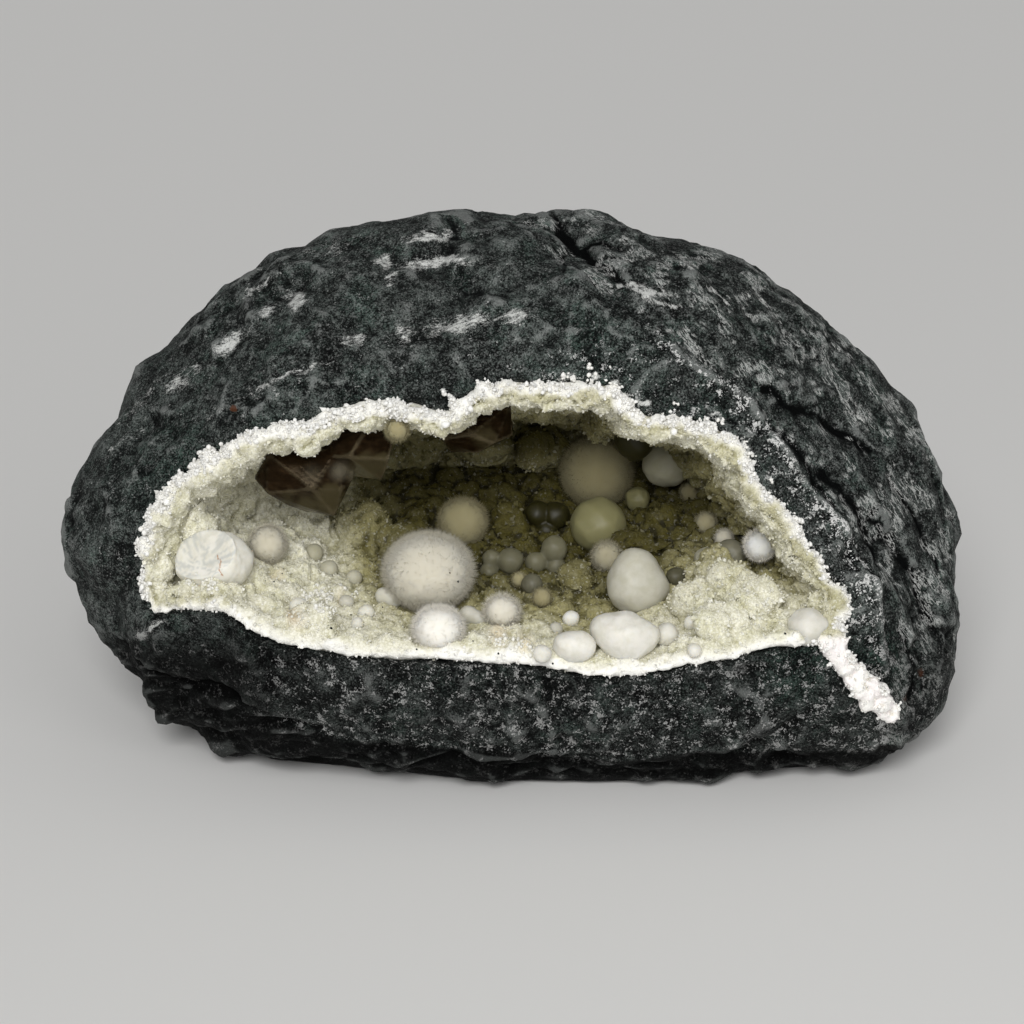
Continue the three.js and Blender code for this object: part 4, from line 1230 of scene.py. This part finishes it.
def strew_grains(name, tree, spots, finish, rim, draw):
    """Adds a piece of grains that lie in spots on a tree's surface."""
    flat = np.concatenate([
        np.array([across, up]) + draw.normal(0, radius * 0.5, (count, 2))
        for across, up, radius, count in spots
    ])
    where, facing = beyond(tree, flat)
    sizes = draw.uniform(0.22, 0.55, len(where))
    place_grains(name, where + facing * 0.1, sizes, finish, rim, draw)


STONE_MARKS = ("relief", "crack", "flank", "flecks", "underside_shade", "smear", "green", "rust")


def strew_crumbs(tree, look, draw):
    """Adds the dark crumbs that lie on a tree's surface."""
    where, facing = beyond(tree, np.array(CRUMBS))
    shape, triangles = grains(where + facing * 0.05, draw.uniform(0.12, 0.3, len(where)), draw)
    marks = {key: np.zeros(len(shape)) for key in STONE_MARKS}
    make_piece("stone_crumbs", shape, triangles, [basalt_finish(look)], (), marks)


DRUSE_SEED = 11


class GEODE_OT_druse(bpy.types.Operator):
    """Adds the druse lining with its bright broken edge and the crystals that stand on it"""

    bl_idname = "geode.druse"
    bl_label = "Druse lining"

    def execute(self, context):
        look = context.scene.geode.druse
        finish = druse_finish(look, "Sugary druse", clear=0.4, beads=0.5)
        clear = druse_finish(look, "Clear crystals", clear=0.6, beads=0.0)
        draw = np.random.default_rng(DRUSE_SEED)
        druse = Lining(look.net / MM, draw)
        druse.add_skin(finish)
        growth = druse.growth()
        for name, count, size, tumble in (
            ("left_crystals", look.count, look.crystal, 0.5),
            ("right_crystals", look.count, look.crystal, 0.5),
            ("rim_crystals", look.rim_count, look.rim_crystal, 1.0),
        ):
            druse.add_crystals(name, count, growth[name], size / MM, tumble, clear)
        druse.add_sprigs("rim_sprigs", look.sprigs, growth["rim_sprigs"], look.grain / MM, clear)
        skin = (druse.points, druse.faces)
        strew_grains("white_bits", outer_skin(), WHITE_BITS, finish, 1.0, draw)
        floor = tree_of(*merged(skin, corners_of("cleaved_pair")))
        strew_grains("floor_flakes", floor, FLAKES, finish, 0.6, draw)
        floor = tree_of(*merged(skin, corners_of("front_puffball"), corners_of("left_puffball")))
        strew_crumbs(floor, context.scene.geode.stone, draw)
        return {"FINISHED"}


# How each puffball has grown: radius of its dense core as a share of its own, how far its fibres reach, how
# many fibres it has as a share of the usual and its height as a share of its width.
USUAL_GROWTH = (0.84, 1.2, 1.4, 1.0)
SHAGGY = {
    "tuft_puffball": (0.84, 1.34, 1.1, 0.9), "front_puffball": (0.93, 1.13, 1.25, 0.84),
    "back_puffball": (0.9, 1.1, 1.0, 1.0), "rear_puffball": (0.88, 1.12, 1.2, 1.0),
    "rim_puffball": (0.88, 1.2, 1.3, 0.88), "left_puffball": (0.86, 1.2, 1.5, 1.0),
    "roof_puffball": (0.75, 1.3, 1.4, 1.0),
}


def puffball(node, look):
    """A puffball's points and faces, and for each face 0 where it is core and 1 where it is fibre."""
    centre, radius = lobes_of(node)[0]
    draw = np.random.default_rng(len(node) * 31 + int(radius * 10))
    core, longest, crowd, height = SHAGGY.get(node, USUAL_GROWTH)
    net, triangles = ball_net(4)
    lumps = 1 + rumple(net * 10 + centre, 5.0, 2) * 0.02
    shape = centre + net * (radius * core * lumps)[:, None]
    count = int(4 * math.pi * radius**2 * look.density * crowd)
    ways = unit(draw.normal(size=(count, 3)))
    # Fibres stand closest where they are seen from the side, so that the core shows between them in front.
    chance = 0.02 + 0.98 * np.exp(-(((ways @ TOWARD - 0.02) / 0.5) ** 2))
    ways = ways[draw.random(count) < chance]
    bent = unit(ways + draw.normal(0, 0.06, ways.shape))
    reach = radius * (core + (longest - core) * draw.beta(1.5, 1.5, len(ways)))
    roots = centre + ways * radius * (core - 0.04)
    tips = centre + unit(ways * 0.5 + bent * 0.5) * reach[:, None]
    widths = look.width / MM * draw.uniform(0.7, 1.2, len(ways))
    spikes, sides = fibres(roots, tips, widths, draw)
    points = np.concatenate([shape, spikes])
    points[:, 2] = centre[2] + (points[:, 2] - centre[2]) * height
    faces = np.concatenate([triangles, sides + len(shape)])
    return points, faces, np.repeat([0, 1], [len(triangles), len(sides)])


class GEODE_OT_puffballs(bpy.types.Operator):
    """Adds the fibrous puffballs"""

    bl_idname = "geode.puffballs"
    bl_label = "Puffballs"

    def execute(self, context):
        look = context.scene.geode.puffball
        for node in sorted(n for n in BALLS if "puffball" in n):
            points, faces, finish_of = puffball(node, look)
            toward = (lobes_of(node)[0][0] - MIDDLE) @ TOWARD
            # Painted shade: darker deep in the hollow and where SHADED says.
            depth = float(np.clip(gloom_at(toward) + SHADED.get(node, 0.0), 0, 1))
            finishes = [core_finish(look, depth), fibre_finish(look, depth)]
            name = node.replace("puffball", "fibre_ball")
            make_piece(name, points, faces, finishes, [node], None, True, finish_of)
        return {"FINISHED"}


# How much less light some puffballs and balls get than others as deep, or more where below zero.
SHADED = {
    "roof_puffball": 1.0, "middle_cluster": 0.65, "column_cluster": 0.6, "column_bead": 0.8,
    "rear_cluster": 1.0, "twin_side_ball": 0.9, "top_ball": 1.0, "ledge_bead": 1.0, "shell_ball": 0.6,
    "deep_puffball": 1.0, "small_puffball_1": 0.45, "small_puffball_2": 0.7, "back_ball": -0.3,
    "right_puffball_3": -0.3, "right_puffball_1": 0.0, "right_puffball_2": -0.25,
    "middle_puffball": -0.03, "corner_ball": 0.2, "tuft_puffball": 0.33, "rim_puffball": 0.13,
    "rim_ball_right": 0.15, "rim_ball_left": 0.15, "rim_pair": 0.1, "right_bead_2": 0.15,
    "knob_ball": -0.4, "tuft_pair": 0.3, "mound_ball": 0.2, "rim_cluster": 0.1, "twin_ball": 0.1,
    "front_puffball": 0.27, "left_puffball": 0.22, "rear_puffball": 0.55, "back_puffball": 0.4,
    "knob_bead": 0.3, "left_bead_4": 0.25, "left_bead_6": 0.12,
}
# Balls that have grown into one body, and how far the necks between them have filled up, in millimetres.
GROWN_TOGETHER = {
    "twin_ball": 1.6, "rim_cluster": 1.1, "rim_pair": 0.9, "cleaved_pair": 4.0, "tuft_pair": 0.4,
    "front_pair": 0.5,
}
# The cleaved pair: which way its flat face looks (across, up, toward), how far that face lies from the middle
# of its left ball, where its fibres radiate from, the middle of its broken shells and its rusty crack.
CLEAVED_TOWARD = (-0.35, 0.42, 0.84)
CLEAVED_AT = 3.0
CLEAVED_HEART = (-68.1, -12.1)
SHELLS_ROUND = (-67.0, -11.0)
CLEAVED_CRACK = [(-65.2, -9.4), (-64.2, -11), (-64.4, -12.8), (-63.6, -14.4)]


LARGE = 2.5  # radius above which a ball gets a finer net and broken shells


def size_of(lobes):
    """Radius of the largest ball."""
    return max(radius for _, radius in lobes)


def ball_body(node, lobes):
    """The even skin of a ball, or of balls that have grown together."""
    level = 5 if node == "cleaved_pair" else 4 if size_of(lobes) > LARGE else 3
    if node in GROWN_TOGETHER:
        return blended(lobes, level, GROWN_TOGETHER[node])
    net, triangles = ball_net(level)
    points = np.concatenate([centre + net * radius for centre, radius in lobes])
    faces = np.concatenate([triangles + len(net) * turn for turn in range(len(lobes))])
    if len(lobes) > 1:
        points, faces = remeshed(points, faces, 0.3)
        points = relaxed(points, faces, 2)
    return points, faces


def cleaved_flat(points, centre):
    """The points cut off flat at the cleaved face, and how far each lies on it, 0 to 1."""
    normal = unit(ACROSS * CLEAVED_TOWARD[0] + UP * CLEAVED_TOWARD[1] + TOWARD * CLEAVED_TOWARD[2])
    above = (points - centre) @ normal - CLEAVED_AT + rumple(points, 2.5, 2) * 0.15
    return points - normal * np.maximum(above, 0)[:, None], step(-0.05, 0.15, above)


def ball_rise(points, node, lobes, draw):
    """How far a ball's skin stands out, with the low steps of its thin broken shells."""
    size = size_of(lobes)
    rise = rumple(points, 5, 2) * 0.03 * size + scars(points, 3.2, 0.1, 0.03)
    shelled = node == "rim_cluster" or (size > LARGE and "cluster" not in node)
    for _ in range(2 if shelled else 0):
        way = unit(draw.normal(size=3) + TOWARD * 0.8)
        along = (points - lobes[0][0]) @ way / size + rumple(points, 3.0, 2) * 0.1
        rise -= 0.22 * step(0.0, 0.03, along - draw.uniform(0.35, 0.75))
    if node == "cleaved_pair":
        out = np.linalg.norm(as_seen(points)[:, :2] - SHELLS_ROUND, axis=1)
        rise -= 0.3 * step(6.1, 6.25, out) + 0.25 * step(7.4, 7.55, out)
    return rise


def ball_marks(points, node, cleaved):
    """The numbers that the balls' finish reads at each point."""
    place = as_seen(points)
    away = place[:, :2] - CLEAVED_HEART
    angle = np.arctan2(away[:, 1], away[:, 0])
    rays = np.stack([np.cos(angle) * 9, np.sin(angle) * 9, np.hypot(away[:, 0], away[:, 1]) * 0.15], 1)
    crack = np.abs(line_distance(place[:, :2] + rumple(points, 1.2)[:, None] * 0.2, CLEAVED_CRACK))
    less_light = SHADED.get(node, 0.0)
    return {
        # Painted shade by depth in the hollow, less where SHADED is below zero.
        "hollow_shade": np.full(len(points), gloom_at(place[:, 2].mean()) + min(less_light, 0.0)),
        "shaded": np.full(len(points), max(less_light, 0.0)),
        "streak": cleaved * step(-0.1, 0.5, rumple(rays, 1.0, 2)),
        "rust": (1 - step(0.1, 0.45, crack)) * (node == "cleaved_pair"),
    }


class GEODE_OT_balls(bpy.types.Operator):
    """Adds the smooth pearly balls"""

    bl_idname = "geode.balls"
    bl_label = "Smooth balls"

    def execute(self, context):
        finish = pearl_finish(context.scene.geode.ball)
        for node in sorted(n for n in BALLS if "puffball" not in n):
            lobes = lobes_of(node)
            points, faces = ball_body(node, lobes)
            cleaved = np.zeros(len(points))
            if node == "cleaved_pair":
                points, cleaved = cleaved_flat(points, lobes[0][0])
            normals = normals_of(points, faces)
            rise = ball_rise(points, node, lobes, np.random.default_rng(len(node)))
            points = points + normals * (rise * (1 - cleaved))[:, None]
            marks = ball_marks(points, node, cleaved)
            make_piece(node + "_smooth", points, faces, [finish], [node], marks)
        return {"FINISHED"}


# Where the calcite is ribbed, where it is thin and clear, and its pale flakes: across, up, radius, strength.
RIBBED = [(-43.8, 8.2, 3.4, 1.0)]
THIN = [
    (-40.1, 2.8, 4.5, 1.0), (-45, 1.2, 4.0, 0.8), (-49, 3, 3, 0.5), (-32.4, 9.0, 5.0, 0.9),
    (-29, 10.5, 3.5, 0.8), (-6, 16.5, 4, 0.6),
]
PALE_FLAKES = [(-38, 8.8, 2.2, 0.9), (-35.6, 8.2, 1.4, 0.6), (-26.6, 11.5, 1.2, 0.8), (-43.8, 8.6, 2.4, 0.35)]
# Which way the fine steps of its cleavage and its ribs climb.
CLEAVAGE_WAY = (0.5, 0.8, 0.3)
RIB_WAY = (0.59, 0.81, 0.0)


def fine_steps(place, way, spacing, height):
    """Steps that climb one way and drop back at every spacing."""
    return height * (np.modf(place @ unit(np.array(way)) / spacing + 100)[0] - 0.5)


class GEODE_OT_calcite(bpy.types.Operator):
    """Adds the smoky calcite blades, with the fine steps of their cleavage"""

    bl_idname = "geode.calcite"
    bl_label = "Calcite blades"

    def execute(self, context):
        look = context.scene.geode.calcite
        finish = calcite_finish(look)
        for node in ("calcite_left", "calcite_right"):
            points, faces = remeshed(*corners_of(node), look.net / MM)
            points = relaxed(points, faces, 1, 0.3)
            normals = normals_of(points, faces)
            place = as_seen(points) + rumple(points, 9)[:, None] * 0.5
            flat = place[:, :2]
            rise = fine_steps(place, CLEAVAGE_WAY, spacing=2.6, height=0.05)
            rise += fine_steps(place, RIB_WAY, spacing=1.1, height=0.2 * blots(flat, RIBBED))
            points = points + normals * rise[:, None]
            # How convex each point is, for the painted highlight along the blades' edges.
            edge = ((points - relaxed(points, faces, 8)) * normals).sum(1) * 12
            marks = {"edge": edge, "thin": blots(flat, THIN), "flake": blots(flat, PALE_FLAKES)}
            name = node.replace("calcite", "calcite_blades")
            make_piece(name, points, faces, [finish], [node], marks)
        return {"FINISHED"}


# ---- Stage ------------------------------------------------------------------------------------------------
FLOOR_REACH = 6.0  # metres from the middle to an edge
SUN_FROM = (-180, 500, 560)  # across, up, toward
SUN_SPREAD = math.radians(24)
FILL_FROM = (420, 260, 560)
FILL_SIZE = 0.6
FILM_WIDTH = 36.0


def put(name, data):
    """Adds an object to the scene."""
    thing = bpy.data.objects.new(name, data)
    bpy.context.scene.collection.objects.link(thing)
    return thing


def aim(lamp, way):
    """Turns a lamp to shine along a way."""
    lamp.rotation_euler = way.to_track_quat("-Z", "Y").to_euler()


def add_floor(look):
    """Adds the plain floor."""
    finish = Finish("Plain floor").surface({"Base Color": rgb(look.floor), "Roughness": 0.9})
    corners = [(x * FLOOR_REACH, y * FLOOR_REACH, 0) for x, y in ((-1, -1), (1, -1), (1, 1), (-1, 1))]
    mesh = bpy.data.meshes.new("floor")
    mesh.from_pydata(corners, [], [(0, 1, 2, 3)])
    mesh.materials.append(finish)
    floor = put("floor", mesh)


def add_lights(look):
    """Adds the soft main light, the side light and the light all round."""
    sun = bpy.data.lights.new("sun", "SUN")
    sun.energy, sun.angle = look.key, SUN_SPREAD
    aim(put("sun", sun), -Vector(seen(*SUN_FROM) - MIDDLE))
    fill = bpy.data.lights.new("fill", "AREA")
    fill.shape, fill.size, fill.energy = "DISK", FILL_SIZE, look.fill
    lamp = put("fill", fill)
    lamp.location = Vector(seen(*FILL_FROM) * MM)
    aim(lamp, Vector(MIDDLE * MM) - lamp.location)
    world = bpy.data.worlds.new("studio")
    world.use_nodes = True
    sky = world.node_tree.nodes["Background"]
    sky.inputs["Color"].default_value = (1, 1, 1, 1)
    sky.inputs["Strength"].default_value = look.sky
    bpy.context.scene.world = world


def add_camera():
    """Adds the camera at the eye."""
    data = bpy.data.cameras.new("camera")
    data.sensor_width = FILM_WIDTH
    data.lens = FILM_WIDTH * EYE_DISTANCE / VIEW_WIDTH
    data.clip_start, data.clip_end = 0.01, 20
    camera = put("camera", data)
    camera.location = Vector((MIDDLE + TOWARD * EYE_DISTANCE) * MM)
    camera.rotation_euler = (math.pi / 2 - EYE_ELEVATION, 0, 0)
    bpy.context.scene.camera = camera


class GEODE_OT_stage(bpy.types.Operator):
    """Adds the plain floor, the studio light and the camera"""

    bl_idname = "geode.stage"
    bl_label = "Stage"

    def execute(self, context):
        look = context.scene.geode.stage
        add_floor(look)
        add_lights(look)
        add_camera()
        context.scene.view_settings.view_transform = "Standard"
        return {"FINISHED"}


class GEODE_PT_panel(bpy.types.Panel):
    """Lists the stage and the geode's pieces"""

    bl_idname = "GEODE_PT_panel"
    bl_label = "Geode"
    bl_space_type = "VIEW_3D"
    bl_region_type = "UI"
    bl_category = "Geode"

    def draw(self, context):
        for operator in OPERATORS:
            self.layout.operator(operator.bl_idname)


OPERATORS = (
    GEODE_OT_stage, GEODE_OT_stone, GEODE_OT_druse, GEODE_OT_puffballs, GEODE_OT_balls, GEODE_OT_calcite,
)
LOOKS = (StoneLook, DruseLook, PuffballLook, BallLook, CalciteLook, StageLook, GeodeLook)
CLASSES = (*LOOKS, *OPERATORS, GEODE_PT_panel)


def register():
    for cls in CLASSES:
        bpy.utils.register_class(cls)
    bpy.types.Scene.geode = PointerProperty(type=GeodeLook)


def unregister():
    del bpy.types.Scene.geode
    for cls in reversed(CLASSES):
        bpy.utils.unregister_class(cls)


def main():
    register()
    for operator in OPERATORS:
        family, name = operator.bl_idname.split(".")
        getattr(getattr(bpy.ops, family), name)()
    bpy.context.view_layer.update()


if __name__ == "__main__":
    main()
